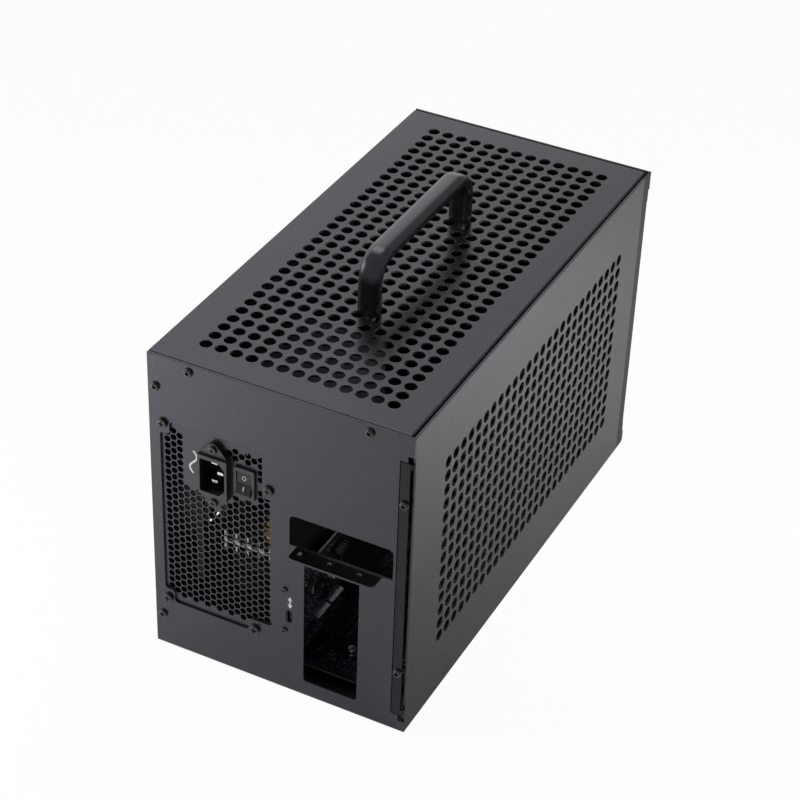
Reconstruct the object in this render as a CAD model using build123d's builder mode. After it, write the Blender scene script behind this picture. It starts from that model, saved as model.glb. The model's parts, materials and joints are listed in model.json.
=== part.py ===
from build123d import *
import math
import os

os.makedirs("parts", exist_ok=True)

# External graphics card enclosure, in millimetres.
# +Z is up and the rear wall, with the card window and the sockets, faces -Y.
# The origin lies under the middle of the whole outline, on the surface that the feet stand on.

# Case sheet
case_width = 180.0
case_depth = 357.0
case_height = 228.0
sheet = 1.5
fold_radius = 1.0
seam = 1.3
fit = 0.2
lip = 12.0
floor_lip = 10.0
lip_relief = 6.0

# Round vents of the top and side panels
vent_diameter = 8.0
top_vent_pitch = 10.6
top_vent_columns = 13
top_vent_rows = 30
side_vent_pitch = 10.5
side_vent_columns = 26
side_vent_rows = 14
fan_vent_columns = 12
fan_vent_rows = 12

# Turned-in edge of the right panel, flush in a recess of each end wall
recess_width = 9.2
recess_bottom = 14.0
recess_top = 210.0
recess_gap = 0.6
recess_notch_width = 4.0
recess_notch_height = 4.5
fold_bridge = 4.0
backing_inset = 3.0
backing_reach = 1.6
backing_width = 7.6

# Turned-in tabs of the left panel
tab_reach = 11.0
tab_height = 18.0

# Cover screws, on the rear and front walls alike
cover_screw_head = 6.0
cover_screw_dome = 2.0
cover_screw_round = 1.4
cover_screw_shank = 3.0
cover_screw_length = 7.0
cover_screw_socket = 2.5
cover_screw_socket_depth = 1.1
screw_fit = 0.15
cross_length = 0.6
cross_width = 0.14
cross_depth = 0.55
pan_round = 0.45
top_screw_spread = 122.0
top_screw_drop = 5.2
left_screw_inset = 5.4
left_screw_heights = (26.0, 205.0)
right_screw_inset = 5.2
right_screw_heights = (48.6, 179.0)

# Card window and bracket shelf in the rear wall
slot_left = 8.3
slot_width = 70.6
slot_height = 22.5
slot_corner = 3.5
stem_left = 18.7
stem_width = 38.1
stem_bottom = 12.8
stem_corner = 2.5
shelf_height = 119.7
shelf_left = 13.3
shelf_width = 58.0
shelf_depth = 12.0
shelf_corner = 3.0
bracket_pitch = 20.32
bracket_hole = 3.4
bracket_hole_count = 3
bracket_hole_out = 5.0
bracket_middle_x = 38.3

# Feet
foot_height = 4.0
foot_diameter = 16.0
foot_inset = 22.0
foot_stem = 5.0
foot_barb = 1.2
foot_edge = 1.0

# Handle over the top panel, set on the webs between vents
handle_pitches = 12
handle_side_pitches = 0.5
handle_back_pitches = -1
handle_rise = 36.5
handle_bar_width = 15.0
handle_bar_thickness = 9.5
handle_corner = 4.5
handle_bend = 15.0
handle_screw = 5.0
handle_screw_depth = 12.0
handle_screw_clear = 1.0
handle_screw_head = 8.5
handle_screw_head_height = 3.0

# Power supply
psu_width = 86.0
psu_height = 150.0
psu_depth = 140.0
psu_side_gap = 3.8
psu_lift = 35.3
psu_sheet = 1.0
psu_fold = 1.6
psu_screw_points = ((6.0, 144.0), (6.0, 6.0), (80.0, 120.0), (70.0, 6.0))
psu_cutout_margin = 3.7
psu_tab_side = 4.6
psu_tab_above = 7.2
psu_tab_corner = 2.4
psu_screw_head = 6.8
psu_screw_head_height = 2.2
psu_screw_shank = 3.5
psu_screw_length = 6.0

# Honeycomb vent of the power supply
hex_pitch = 5.05
hex_web = 0.9
hex_margin = 7.6
hex_keep_out = 0.6
plain_patch_left = 21.0
plain_patch_width = 10.5
plain_patch_bottom = 100.0
plain_patch_height = 43.0

# Mains inlet, measured from the lower left corner of the power supply's face
inlet_x = 42.2
inlet_z = 117.5
inlet_screw_spread = 40.0
inlet_ear_radius = 4.4
inlet_ear = 3.2
inlet_rim = 5.0
inlet_width = 20.6
inlet_height = 29.6
inlet_body_width = 19.4
inlet_body_height = 26.8
inlet_depth = 19.0
socket_width = 17.4
socket_height = 24.6
socket_chamfer = 4.2
socket_depth = 17.0
socket_corner = 1.2
blade_spread = 14.0
blade_offset = 4.0
blade_shift = -1.6
blade_width = 4.0
blade_thickness = 2.0
blade_length = 11.0
blade_fit = 0.05
inlet_screw_head = 5.6
inlet_screw_head_height = 1.6
inlet_screw_shank = 2.9

# Rocker switch, measured from the same corner
switch_x = 62.9
switch_z = 118.5
bezel_width = 14.4
bezel_height = 22.4
bezel_rim = 2.0
bezel_corner = 1.2
bezel_body_width = 12.8
bezel_body_height = 19.0
bezel_depth = 14.0
rocker_width = 10.2
rocker_length = 14.8
rocker_side_gap = 0.25
rocker_end_gap = 0.5
rocker_crown = 2.7
rocker_valley = 1.6
rocker_root = 3.0
rocker_well = 6.0
rocker_tilt = 10.0
rocker_pin = 1.3
rocker_pin_reach = 0.8
pivot_gap = 0.05

# Fan of the power supply
fan_size = 120.0
fan_thickness = 25.0
fan_corner = 6.0
fan_bore = 116.0
fan_screw_spread = 105.0
fan_screw = 3.8
fan_screw_length = 9.0
fan_screw_head = 7.0
fan_screw_head_height = 1.5
fan_hub = 42.0
fan_hub_length = 16.0
fan_hub_wall = 1.6
fan_hub_gap = 1.2
fan_flange = 4.0
fan_barrel_wall = 1.6
fan_plate = 3.0
fan_strut = 5.0
fan_shaft = 3.0
fan_boss = 8.0
fan_blades = 7
fan_blade_thickness = 1.8
fan_blade_root = 15.0
fan_blade_tip = 20.0
fan_blade_root_angle = 42.0
fan_blade_tip_angle = 32.0
fan_tip_gap = 1.5
grille_bar = 2.6
grille_slot = 5.2
grille_rings = 6
grille_hub = 9.0
grille_spoke = 4.0

# Inside the power supply
psu_board_gap = 5.0
psu_board_edge = 6.0
psu_post = 6.0
psu_post_inset = 10.0
board_thickness = 1.6
sink_length = 78.0
sink_height = 42.0
sink_stem = 3.0
sink_fin = 14.0
sink_fin_thickness = 1.6
sink_fin_count = 5
sink_heights = (52.0, 104.0)
sink_starts = (18.0, 46.0)
transformer_width = 34.0
transformer_length = 36.0
transformer_height = 32.0
transformer_window = 8.0
transformer_wall = 7.0
transformer_from_face = 74.0
transformer_z = 78.0
choke_ring = 11.5
choke_wire = 5.2
choke_from_face = 26.0
choke_z = 78.0
capacitor_diameter = 18.0
capacitor_height = 36.0
capacitor_edge = 1.5
capacitor_from_face = 27.0
capacitor_heights = (17.0, 35.4)
grommet_bore = 18.0
grommet_wall = 2.0
grommet_flange = 2.5
grommet_lip = 1.6
grommet_z = 120.0

# Card board on the floor, its slot and its chip
card_drop = 113.0
card_x = 22.5
card_board_left = 2.5
card_board_width = 70.0
card_board_start = 21.0
card_board_length = 161.0
standoff_flats = 6.0
standoff_inset = 6.0
standoff_rear_inset = 17.0
board_screw_head = 5.6
board_screw_head_height = 2.0
board_screw_shank = 2.9
board_screw_hole = 3.3
card_slot_start = 45.0
card_slot_length = 89.0
card_slot_width = 7.5
card_slot_height = 11.2
card_slot_chamfer = 0.8
card_groove = 1.9
card_groove_depth = 8.0
card_groove_short = 11.6
card_groove_key = 2.0
card_groove_end = 1.6
latch_wall = 1.2
latch_reach = 7.0
latch_pivot_out = 3.6
latch_pivot_up = 4.2
latch_boss = 2.4
latch_pin = 1.0
latch_gap = 0.25
latch_lever = 14.5
latch_arm = 3.6
latch_hook = 3.4
latch_hook_rise = 9.0
latch_hook_height = 2.4
latch_thumb = 6.0
latch_thumb_height = 2.2
chip_size = 17.0
chip_height = 1.8
chip_x = 52.0
chip_from_edge = 77.0
sink_base_size = 34.0
sink_base = 3.0
chip_fin_height = 11.0
chip_fin_count = 8
chip_fin_thickness = 1.4
power_rows = 2
power_columns = 4
power_pitch = 4.2
power_wall = 1.1
power_cell = 3.4
power_height = 12.8
power_cell_depth = 9.0
power_x = 52.0
power_from_front = 13.0

# Data port on an upright board beside the power supply
port_x = 8.3
port_height = 61.8
port_length = 9.0
port_thickness = 3.3
port_wall = 0.35
port_depth = 9.4
port_recess = 0.4
port_back = 0.6
port_tongue_width = 6.6
port_tongue = 0.7
port_tongue_inset = 1.2
port_hole_gap = 0.5
port_screw_x = 4.9
port_screw_heights = (49.4, 82.2)
port_screw_head = 4.4
port_screw_head_height = 1.3
port_screw_shank = 2.9
port_screw_length = 5.0
port_web_x = 0.7
port_web = 1.2
port_lug_width = 8.2
port_lug_height = 9.0
port_web_length = 26.0
port_board_start = 9.0
port_board_length = 70.0
port_board_top = 82.5
port_nose_start = 3.0
port_nose_height = 16.0
port_spacer = 5.0
port_spacer_hole = 2.2
port_spacer_spread = 26.0
port_spacer_from_wall = 20.0
link_start = 46.0
link_length = 30.0
link_width = 6.4
link_height = 8.6
link_groove_depth = 6.0
link_fit = 0.15
link_clear = 1.0

# Places worked out from the sizes
floor_z = foot_height
top_z = floor_z + case_height
rear_y = (shelf_depth - cover_screw_dome - case_depth) / 2
front_y = rear_y + case_depth
middle_y = (rear_y + front_y) / 2
half_width = case_width / 2
fold_outside = fold_radius + sheet
side_gap = sheet + fit
inner_rear = rear_y + side_gap
inner_front = front_y - side_gap
rear_wall = Plane.XZ.offset(-rear_y)
front_wall = Plane.XZ.offset(-front_y)
end_walls = ((rear_wall, -1), (front_wall, 1))

shelf_z = floor_z + shelf_height
shelf_x = shelf_left + shelf_width / 2
bracket_points = [
    (bracket_middle_x + (i - (bracket_hole_count - 1) / 2) * bracket_pitch, rear_y - bracket_hole_out)
    for i in range(bracket_hole_count)
]
recess_left = half_width - recess_width
recess_z = floor_z + (recess_bottom + recess_top) / 2
recess_height = recess_top - recess_bottom
left_tab_zs = [floor_z + height for height in left_screw_heights]

top_screw_points = [(side * top_screw_spread / 2, top_z - top_screw_drop) for side in (-1, 1)]
left_screw_points = [(left_screw_inset - half_width, floor_z + z) for z in left_screw_heights]
right_screw_points = [(half_width - right_screw_inset, floor_z + z) for z in right_screw_heights]
cover_screw_points = top_screw_points + left_screw_points + right_screw_points

foot_points = {
    f"foot_{end}_{side}": (sx * (half_width - foot_inset), y)
    for end, y in (("rear", rear_y + foot_inset), ("front", front_y - foot_inset))
    for side, sx in (("left", -1), ("right", 1))
}

psu_left = psu_side_gap - half_width
psu_right = psu_left + psu_width
psu_bottom = floor_z + psu_lift
psu_top = psu_bottom + psu_height
psu_rear = rear_y + sheet
psu_front = psu_rear + psu_depth
psu_face = Plane((psu_left, psu_rear, psu_bottom), x_dir=(1, 0, 0), z_dir=(0, -1, 0))
psu_screw_plane = Plane((psu_left, rear_y, psu_bottom), x_dir=(1, 0, 0), z_dir=(0, -1, 0))
fan_y = psu_rear + psu_depth / 2
fan_z = psu_bottom + psu_height / 2
fan_left = psu_left + psu_sheet
fan_right = fan_left + fan_thickness
psu_board_x = psu_right - psu_sheet - psu_board_gap - board_thickness

card_board_top = shelf_z - card_drop
card_board_bottom = card_board_top - board_thickness
standoff_height = card_board_bottom - floor_z - sheet
card_board_rear = rear_y + card_board_start
standoff_points = [
    (card_board_left + inset_x, card_board_rear + inset_y)
    for inset_x in (standoff_inset, card_board_width - standoff_inset)
    for inset_y in (standoff_rear_inset, card_board_length - standoff_inset)
]
card_slot_rear = rear_y + card_slot_start
card_slot_front = card_slot_rear + card_slot_length
latch_y = card_slot_front + latch_pivot_out
latch_z = card_board_top + latch_pivot_up
latch_width = card_slot_width - 2 * latch_wall - 2 * latch_gap
port_z = floor_z + port_height
port_board_right = port_x - port_thickness / 2
port_board_left = port_board_right - board_thickness
port_lug_points = [(port_screw_x, floor_z + height) for height in port_screw_heights]

psu_front_face = Plane.XZ.offset(-psu_front)
psu_clip = psu_fold - psu_sheet
grommet_point = (psu_right - psu_width / 2, psu_bottom + grommet_z)
inlet_screw_points = [(inlet_x, inlet_z + side * inlet_screw_spread / 2) for side in (-1, 1)]
socket_floor = psu_face.offset(inlet_rim - socket_depth)
blade_points = [
    (inlet_x + blade_shift, inlet_z - blade_spread / 2),
    (inlet_x + blade_shift, inlet_z + blade_spread / 2),
    (inlet_x + blade_shift + blade_offset, inlet_z),
]
rocker_middle_x = psu_left + switch_x
rocker_middle_z = psu_bottom + switch_z
rocker_well_length = 2 * (math.hypot(rocker_length / 2, rocker_crown) + rocker_end_gap)
tilt = math.radians(-rocker_tilt)
rocker_plane = Plane(
    (rocker_middle_x, psu_rear, rocker_middle_z), x_dir=(0, math.cos(tilt), math.sin(tilt)), z_dir=(1, 0, 0)
)
fan_screw_reach = fan_screw_spread / 2
fan_screw_points = [(sy * fan_screw_reach, sz * fan_screw_reach) for sy in (-1, 1) for sz in (-1, 1)]
port_board_middle = port_board_left + board_thickness / 2
port_mouth = Plane((port_x, rear_y + port_recess, port_z), x_dir=(1, 0, 0), z_dir=(0, -1, 0))
port_spacer_middle = floor_z + sum(port_screw_heights) / 2
port_spacer_points = [
    (rear_y + port_spacer_from_wall, port_spacer_middle + side * port_spacer_spread / 2) for side in (-1, 1)
]


def outline(width, height):
    """Closed rectangle about the origin."""
    x = width / 2
    y = height / 2
    return Wire.make_polygon([(-x, -y), (x, -y), (x, y), (-x, y)], close=True)


def vented(width, height, columns, rows, pitch, field_x=0.0, field_y=0.0):
    """Flat sheet about its middle with a square field of round vents, as one face."""
    vents = []
    for i in range(columns):
        for j in range(rows):
            x = field_x + (i - (columns - 1) / 2) * pitch
            y = field_y + (j - (rows - 1) / 2) * pitch
            vents.append(Wire.make_circle(vent_diameter / 2, Plane((x, y, 0))))
    return Face(outline(width, height), vents)


def honeycomb():
    """Outlines of the honeycomb cells, clear of the screws, the inlet, the switch and the plain patch."""
    column_pitch = hex_pitch * math.sqrt(3) / 2
    columns = int((psu_width - 2 * hex_margin) / column_pitch) + 1
    rows = int((psu_height - 2 * hex_margin) / hex_pitch)
    start_x = (psu_width - (columns - 1) * column_pitch) / 2
    start_z = (psu_height - (rows - 0.5) * hex_pitch) / 2
    cell = hex_pitch / 2 + hex_keep_out
    corner = (hex_pitch - hex_web) / math.sqrt(3)
    cells = []
    for i in range(columns):
        for j in range(rows):
            x = start_x + i * column_pitch
            z = start_z + (j + 0.5 * (i % 2)) * hex_pitch
            by_screw = any(math.dist((x, z), point) < psu_screw_head / 2 + cell for point in psu_screw_points)
            drop = abs(z - inlet_z) - inlet_height / 2
            ear_reach = (inlet_screw_spread - inlet_height) / 2 + inlet_ear_radius
            taper = max(0.0, drop) * inlet_width / 2 / ear_reach
            by_inlet = abs(x - inlet_x) < inlet_width / 2 - taper + cell and drop < ear_reach + cell
            beside_switch = abs(x - switch_x) < bezel_width / 2 + cell
            by_switch = beside_switch and abs(z - switch_z) < bezel_height / 2 + cell
            by_patch = (
                plain_patch_left < x < plain_patch_left + plain_patch_width
                and plain_patch_bottom < z < plain_patch_bottom + plain_patch_height
            )
            if not (by_screw or by_inlet or by_switch or by_patch):
                turns = [math.radians(60 * k) for k in range(6)]
                points = [(x + corner * math.cos(t), z + corner * math.sin(t)) for t in turns]
                cells.append(Wire.make_polygon(points, close=True))
    return cells


def handle_feet():
    """Where the handle's two legs stand on the top panel, between four vents each."""
    x = handle_side_pitches * top_vent_pitch
    reach = handle_pitches * top_vent_pitch / 2
    centre = middle_y + handle_back_pitches * top_vent_pitch
    return [(x, centre - reach), (x, centre + reach)]


def cross_screws(plane, points, head, head_height, shank, length):
    """Pan-head screws seated on a plane, each with a cross recess in its head."""
    with BuildPart() as screws:
        with BuildSketch(plane):
            with Locations(points):
                Circle(head / 2)
        extrude(amount=head_height)
        crowns = screws.faces().sort_by(Axis(plane.origin, plane.z_dir))[-len(points):]
        fillet(crowns.edges(), radius=head_height * pan_round)
        with BuildSketch(plane.offset(head_height)):
            with Locations(points):
                Rectangle(head * cross_length, head * cross_width)
                Rectangle(head * cross_width, head * cross_length)
        extrude(amount=-head_height * cross_depth, mode=Mode.SUBTRACT)
        with BuildSketch(plane):
            with Locations(points):
                Circle(shank / 2)
        extrude(amount=-length)
    return screws


# Chassis: rear wall, floor and front wall folded from one sheet
with BuildPart() as chassis:
    with BuildSketch(Plane.YZ.offset(-half_width)):
        with BuildLine():
            FilletPolyline(
                (rear_y, top_z), (rear_y, floor_z), (front_y, floor_z), (front_y, top_z), radius=fold_outside
            )
            offset(amount=sheet, side=Side.LEFT)
        make_face()
    extrude(amount=case_width)
    # the floor stops short of the side panels and turns up in a low lip along each
    with BuildSketch(Plane.XY.offset(floor_z)):
        for side in (-1, 1):
            with Locations((side * (half_width - side_gap / 2), middle_y)):
                Rectangle(side_gap, case_depth - 2 * sheet)
    extrude(amount=fold_outside, mode=Mode.SUBTRACT)
    with BuildSketch(Plane.XY.offset(floor_z)):
        for side in (-1, 1):
            with Locations((side * (half_width - side_gap - sheet / 2), middle_y)):
                Rectangle(sheet, case_depth - 2 * (sheet + lip_relief))
    extrude(amount=floor_lip)
    # each end wall is cut back for the right panel's edge, with a notch past each end of the fold
    # and a joggled strip behind it
    for wall, inward in end_walls:
        with BuildSketch(wall):
            with Locations((half_width - recess_width / 2, recess_z)):
                Rectangle(recess_width, recess_height)
            with Locations((half_width - recess_notch_width / 2, recess_z)):
                Rectangle(recess_notch_width, recess_height + 2 * recess_notch_height)
        extrude(amount=inward * sheet, mode=Mode.SUBTRACT)
        with BuildSketch(wall.offset(inward * sheet)):
            with Locations((recess_left - backing_reach + backing_width / 2, recess_z)):
                Rectangle(backing_width, recess_height - 2 * backing_inset)
        extrude(amount=inward * sheet)
        with BuildSketch(wall):
            with Locations(cover_screw_points):
                Circle(cover_screw_shank / 2 + screw_fit)
        extrude(amount=inward * 2 * sheet, mode=Mode.SUBTRACT)
    # T-shaped card window: a wide slot over a two-slot stem
    with BuildSketch(rear_wall) as window:
        with Locations((slot_left + slot_width / 2, shelf_z + slot_height / 2)):
            Rectangle(slot_width, slot_height)
        fillet(window.vertices().group_by(Axis.Y)[-1], radius=slot_corner)
        stem_height = shelf_height - stem_bottom
        with Locations((stem_left + stem_width / 2, shelf_z - stem_height / 2)):
            Rectangle(stem_width, stem_height)
        fillet(window.vertices().group_by(Axis.Y)[0], radius=stem_corner)
    extrude(amount=-sheet, mode=Mode.SUBTRACT)
    # the tongue from the slot is bent out as the shelf for card brackets
    with BuildSketch(Plane.XY.offset(shelf_z - sheet)) as shelf:
        with Locations((shelf_x, rear_y + (sheet - shelf_depth) / 2)):
            Rectangle(shelf_width, shelf_depth + sheet)
        fillet(shelf.vertices().group_by(Axis.Y)[0], radius=shelf_corner)
        with Locations(bracket_points):
            Circle(bracket_hole / 2, mode=Mode.SUBTRACT)
    extrude(amount=sheet)
    # power supply cut-out, with a tab left round each of its four screws
    with BuildSketch(psu_screw_plane) as psu_cutout:
        with Locations((psu_width / 2, psu_height / 2)):
            Rectangle(psu_width - 2 * psu_cutout_margin, psu_height - 2 * psu_cutout_margin)
        for x, z in psu_screw_points:
            side = 1 if x > psu_width / 2 else -1
            up = 1 if z > psu_height / 2 else -1
            edge_x = psu_width if side > 0 else 0
            edge_z = psu_height if up > 0 else 0
            inner_x = x - side * psu_tab_side
            inner_z = z - up * psu_tab_above
            with Locations(((edge_x + inner_x) / 2, (edge_z + inner_z) / 2)):
                Rectangle(abs(edge_x - inner_x), abs(edge_z - inner_z), mode=Mode.SUBTRACT)
        fillet(psu_cutout.vertices(), radius=psu_tab_corner)
    extrude(amount=-sheet, mode=Mode.SUBTRACT)
    with BuildSketch(psu_screw_plane):
        with Locations(psu_screw_points):
            Circle(psu_screw_shank / 2 + screw_fit)
    extrude(amount=-sheet, mode=Mode.SUBTRACT)
    # data port hole and the holes of its two screws
    with BuildSketch(rear_wall):
        with Locations((port_x, port_z)):
            SlotOverall(port_length + 2 * port_hole_gap, port_thickness + 2 * port_hole_gap, rotation=90)
        with Locations(port_lug_points):
            Circle(port_screw_shank / 2 + screw_fit)
    extrude(amount=-sheet, mode=Mode.SUBTRACT)
    # floor holes for the feet and the board's standoffs
    with BuildSketch(Plane.XY.offset(floor_z)):
        with Locations(list(foot_points.values())):
            Circle(foot_stem / 2 + screw_fit)
        with Locations(standoff_points):
            Circle(board_screw_shank / 2 + screw_fit)
    extrude(amount=sheet, mode=Mode.SUBTRACT)
chassis.part.label = "chassis"
export_step(chassis.part, "parts/chassis.step")

# Top panel: perforated lid with three edges turned down, its left edge lapped over the left panel
top_right = half_width - sheet - seam
top_width = half_width + top_right
top_depth = inner_front - inner_rear
top_middle = top_right - top_width / 2
lip_left = side_gap - half_width
with BuildPart() as top_panel:
    with BuildSketch(Plane.XY.offset(top_z - sheet)):
        with Locations((top_middle, middle_y)):
            add(vented(top_width, top_depth, top_vent_columns, top_vent_rows, top_vent_pitch, -top_middle))
        with Locations(handle_feet()):
            Circle(handle_screw / 2 + screw_fit, mode=Mode.SUBTRACT)
    extrude(amount=sheet)
    with BuildSketch(Plane.XY.offset(top_z - sheet)):
        with Locations(((lip_left + top_right) / 2, middle_y)):
            Rectangle(top_right - lip_left, top_depth)
        with Locations(((lip_left + top_right) / 2 - sheet, middle_y)):
            Rectangle(top_right - lip_left, top_depth - 2 * sheet, mode=Mode.SUBTRACT)
    extrude(amount=sheet - lip)
    rim = top_panel.faces().sort_by(Axis.Z)[-1].outer_wire().edges()
    fillet(rim.sort_by(Axis.X)[1:], radius=sheet)
    for wall, inward in end_walls:
        with BuildSketch(wall):
            with Locations(top_screw_points):
                Circle(cover_screw_shank / 2 + screw_fit)
        extrude(amount=inward * cover_screw_length, mode=Mode.SUBTRACT)
top_panel.part.label = "top_panel"
export_step(top_panel.part, "parts/top_panel.step")

# Left panel: plain but for the vents over the power supply's fan, with tabs turned in behind the end walls
side_depth = inner_front - inner_rear
left_height = case_height - side_gap
with BuildPart() as left_panel:
    with BuildSketch(Plane.YZ.offset(-half_width)):
        with Locations((middle_y, floor_z + left_height / 2)):
            field_y = fan_z - floor_z - left_height / 2
            add(
                vented(
                    side_depth,
                    left_height,
                    fan_vent_columns,
                    fan_vent_rows,
                    side_vent_pitch,
                    field_x=fan_y - middle_y,
                    field_y=field_y,
                )
            )
    extrude(amount=sheet)
    for end_y, inward in ((inner_rear, 1), (inner_front, -1)):
        with BuildSketch(Plane.YZ.offset(-half_width)):
            for z in left_tab_zs:
                with Locations((end_y + inward * sheet / 2, z)):
                    Rectangle(sheet, tab_height)
        extrude(amount=tab_reach)
    for wall, inward in end_walls:
        with BuildSketch(wall):
            with Locations(left_screw_points):
                Circle(cover_screw_shank / 2 + screw_fit)
        extrude(amount=inward * cover_screw_length, mode=Mode.SUBTRACT)
left_panel.part.label = "left_panel"
export_step(left_panel.part, "parts/left_panel.step")

# Right panel: perforated access panel whose edges lie flush in the end walls' recesses.
# Each fold is slotted away between two bridges, so that the edge bends by hand.
with BuildPart() as right_panel:
    with BuildSketch(Plane.YZ.offset(half_width - sheet)):
        with Locations((middle_y, floor_z + case_height / 2)):
            add(vented(side_depth, case_height, side_vent_columns, side_vent_rows, side_vent_pitch))
    extrude(amount=sheet)
    edge_left = recess_left + recess_gap
    edge_height = recess_height - 2 * recess_gap
    for end_y, inner_y, side in ((rear_y, inner_rear, Side.LEFT), (front_y, inner_front, Side.RIGHT)):
        root_y = inner_y + (fold_outside if side == Side.LEFT else -fold_outside)
        with BuildSketch(Plane.XY.offset(recess_z - edge_height / 2)):
            with BuildLine():
                FilletPolyline(
                    (edge_left, end_y), (half_width, end_y), (half_width, root_y), radius=fold_outside
                )
                offset(amount=sheet, side=side)
            make_face()
        extrude(amount=edge_height)
    for wall, inward in end_walls:
        with BuildSketch(wall):
            with Locations((half_width - fold_outside / 2, recess_z)):
                Rectangle(fold_outside, edge_height - 2 * fold_bridge)
        extrude(amount=inward * fold_outside, mode=Mode.SUBTRACT)
        with BuildSketch(wall):
            with Locations(right_screw_points):
                Circle(cover_screw_shank / 2 + screw_fit)
        extrude(amount=inward * sheet, mode=Mode.SUBTRACT)
right_panel.part.label = "right_panel"
export_step(right_panel.part, "parts/right_panel.step")

# Cover screws: dome heads with a hex socket, on both end walls
with BuildPart() as cover_screws:
    for wall, inward in end_walls:
        with BuildSketch(wall):
            with Locations(cover_screw_points):
                Circle(cover_screw_head / 2)
        heads = extrude(amount=-inward * cover_screw_dome)
        crowns = heads.faces().sort_by(Axis((0, 0, 0), (0, inward, 0)))[-len(cover_screw_points):]
        fillet(crowns.edges(), radius=cover_screw_round)
        with BuildSketch(wall.offset(-inward * cover_screw_dome)):
            with Locations(cover_screw_points):
                RegularPolygon(cover_screw_socket / 2, 6, major_radius=False)
        extrude(amount=inward * cover_screw_socket_depth, mode=Mode.SUBTRACT)
        with BuildSketch(wall):
            with Locations(cover_screw_points):
                Circle(cover_screw_shank / 2)
        extrude(amount=inward * cover_screw_length)
cover_screws.part.label = "cover_screws"
export_step(cover_screws.part, "parts/cover_screws.step")

# Feet: moulded rubber buttons with a stem pushed through the floor
for foot_name, foot_point in foot_points.items():
    with BuildPart() as foot:
        with BuildSketch(Plane.XY):
            with Locations(foot_point):
                Circle(foot_diameter / 2)
        extrude(amount=foot_height)
        fillet(foot.edges().group_by(Axis.Z)[0], radius=foot_edge)
        with BuildSketch(Plane.XY.offset(foot_height)):
            with Locations(foot_point):
                Circle(foot_stem / 2)
        extrude(amount=sheet + foot_barb)
    foot.part.label = foot_name
    export_step(foot.part, f"parts/{foot_name}.step")

# Handle: flat-oval bar bent down into two legs
with BuildPart() as handle:
    near_leg, far_leg = handle_feet()
    with BuildLine() as handle_path:
        FilletPolyline(
            (*near_leg, top_z),
            (*near_leg, top_z + handle_rise),
            (*far_leg, top_z + handle_rise),
            (*far_leg, top_z),
            radius=handle_bend,
        )
    with BuildSketch(Plane.XY.offset(top_z)):
        with Locations(near_leg):
            RectangleRounded(handle_bar_width, handle_bar_thickness, handle_corner)
    sweep(path=handle_path.line)
    with BuildSketch(Plane.XY.offset(top_z)):
        with Locations(near_leg, far_leg):
            Circle(handle_screw / 2 + screw_fit)
    extrude(amount=handle_screw_depth, mode=Mode.SUBTRACT)
handle.part.label = "handle"
export_step(handle.part, "parts/handle.step")

# Handle screws, up through the top panel
with BuildPart() as handle_screws:
    with BuildSketch(Plane.XY.offset(top_z - sheet)):
        with Locations(handle_feet()):
            Circle(handle_screw_head / 2)
    extrude(amount=-handle_screw_head_height)
    with BuildSketch(Plane.XY.offset(top_z - sheet)):
        with Locations(handle_feet()):
            Circle(handle_screw / 2)
    extrude(amount=sheet + handle_screw_depth - handle_screw_clear)
handle_screws.part.label = "handle_screws"
export_step(handle_screws.part, "parts/handle_screws.step")

# Power supply case: board wall, front face and the rear face with the honeycomb, folded from one sheet
with BuildPart() as psu_case:
    face_height = psu_height - 2 * psu_sheet
    with BuildSketch(Plane.XY.offset(psu_bottom + psu_sheet)):
        with BuildLine():
            FilletPolyline(
                (psu_right - 2 * psu_fold, psu_rear),
                (psu_right, psu_rear),
                (psu_right, psu_front),
                (fan_left, psu_front),
                radius=psu_fold,
            )
            offset(amount=psu_sheet, side=Side.LEFT)
        make_face()
    extrude(amount=face_height)
    chamfer(psu_case.edges().filter_by(Axis.Y).group_by(Axis.X)[0], length=psu_clip)
    with BuildSketch(psu_front_face):
        with Locations(grommet_point):
            Circle(grommet_bore / 2 + grommet_wall)
    extrude(amount=psu_sheet, mode=Mode.SUBTRACT)
    # pressed posts that carry the board
    with BuildSketch(Plane.YZ.offset(psu_right - psu_sheet)):
        with Locations((fan_y, fan_z)):
            with GridLocations(psu_depth - 2 * psu_post_inset, psu_height - 2 * psu_post_inset, 2, 2):
                Circle(psu_post / 2)
    extrude(amount=-psu_board_gap)
    # the rear face, with every hole as an inner outline
    face_rim = Wire.make_polygon(
        [
            (psu_sheet + psu_clip, psu_sheet),
            (psu_width - 2 * psu_fold, psu_sheet),
            (psu_width - 2 * psu_fold, psu_height - psu_sheet),
            (psu_sheet + psu_clip, psu_height - psu_sheet),
            (psu_sheet, psu_height - psu_sheet - psu_clip),
            (psu_sheet, psu_sheet + psu_clip),
        ],
        close=True,
    )
    face_holes = honeycomb()
    inlet_hole = outline(inlet_body_width + 2 * fit, inlet_body_height + 2 * fit)
    face_holes.append(inlet_hole.moved(Location((inlet_x, inlet_z, 0))))
    switch_hole = outline(bezel_body_width + 2 * fit, bezel_body_height + 2 * fit)
    face_holes.append(switch_hole.moved(Location((switch_x, switch_z, 0))))
    for x, z in inlet_screw_points:
        face_holes.append(Wire.make_circle(inlet_screw_shank / 2 + screw_fit, Plane((x, z, 0))))
    for x, z in psu_screw_points:
        face_holes.append(Wire.make_circle(psu_screw_shank / 2 + screw_fit, Plane((x, z, 0))))
    with BuildSketch(psu_face):
        add(Face(face_rim, face_holes))
    extrude(amount=-psu_sheet, clean=False)
psu_case.part.label = "psu_case"
export_step(psu_case.part, "parts/psu_case.step")

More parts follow.
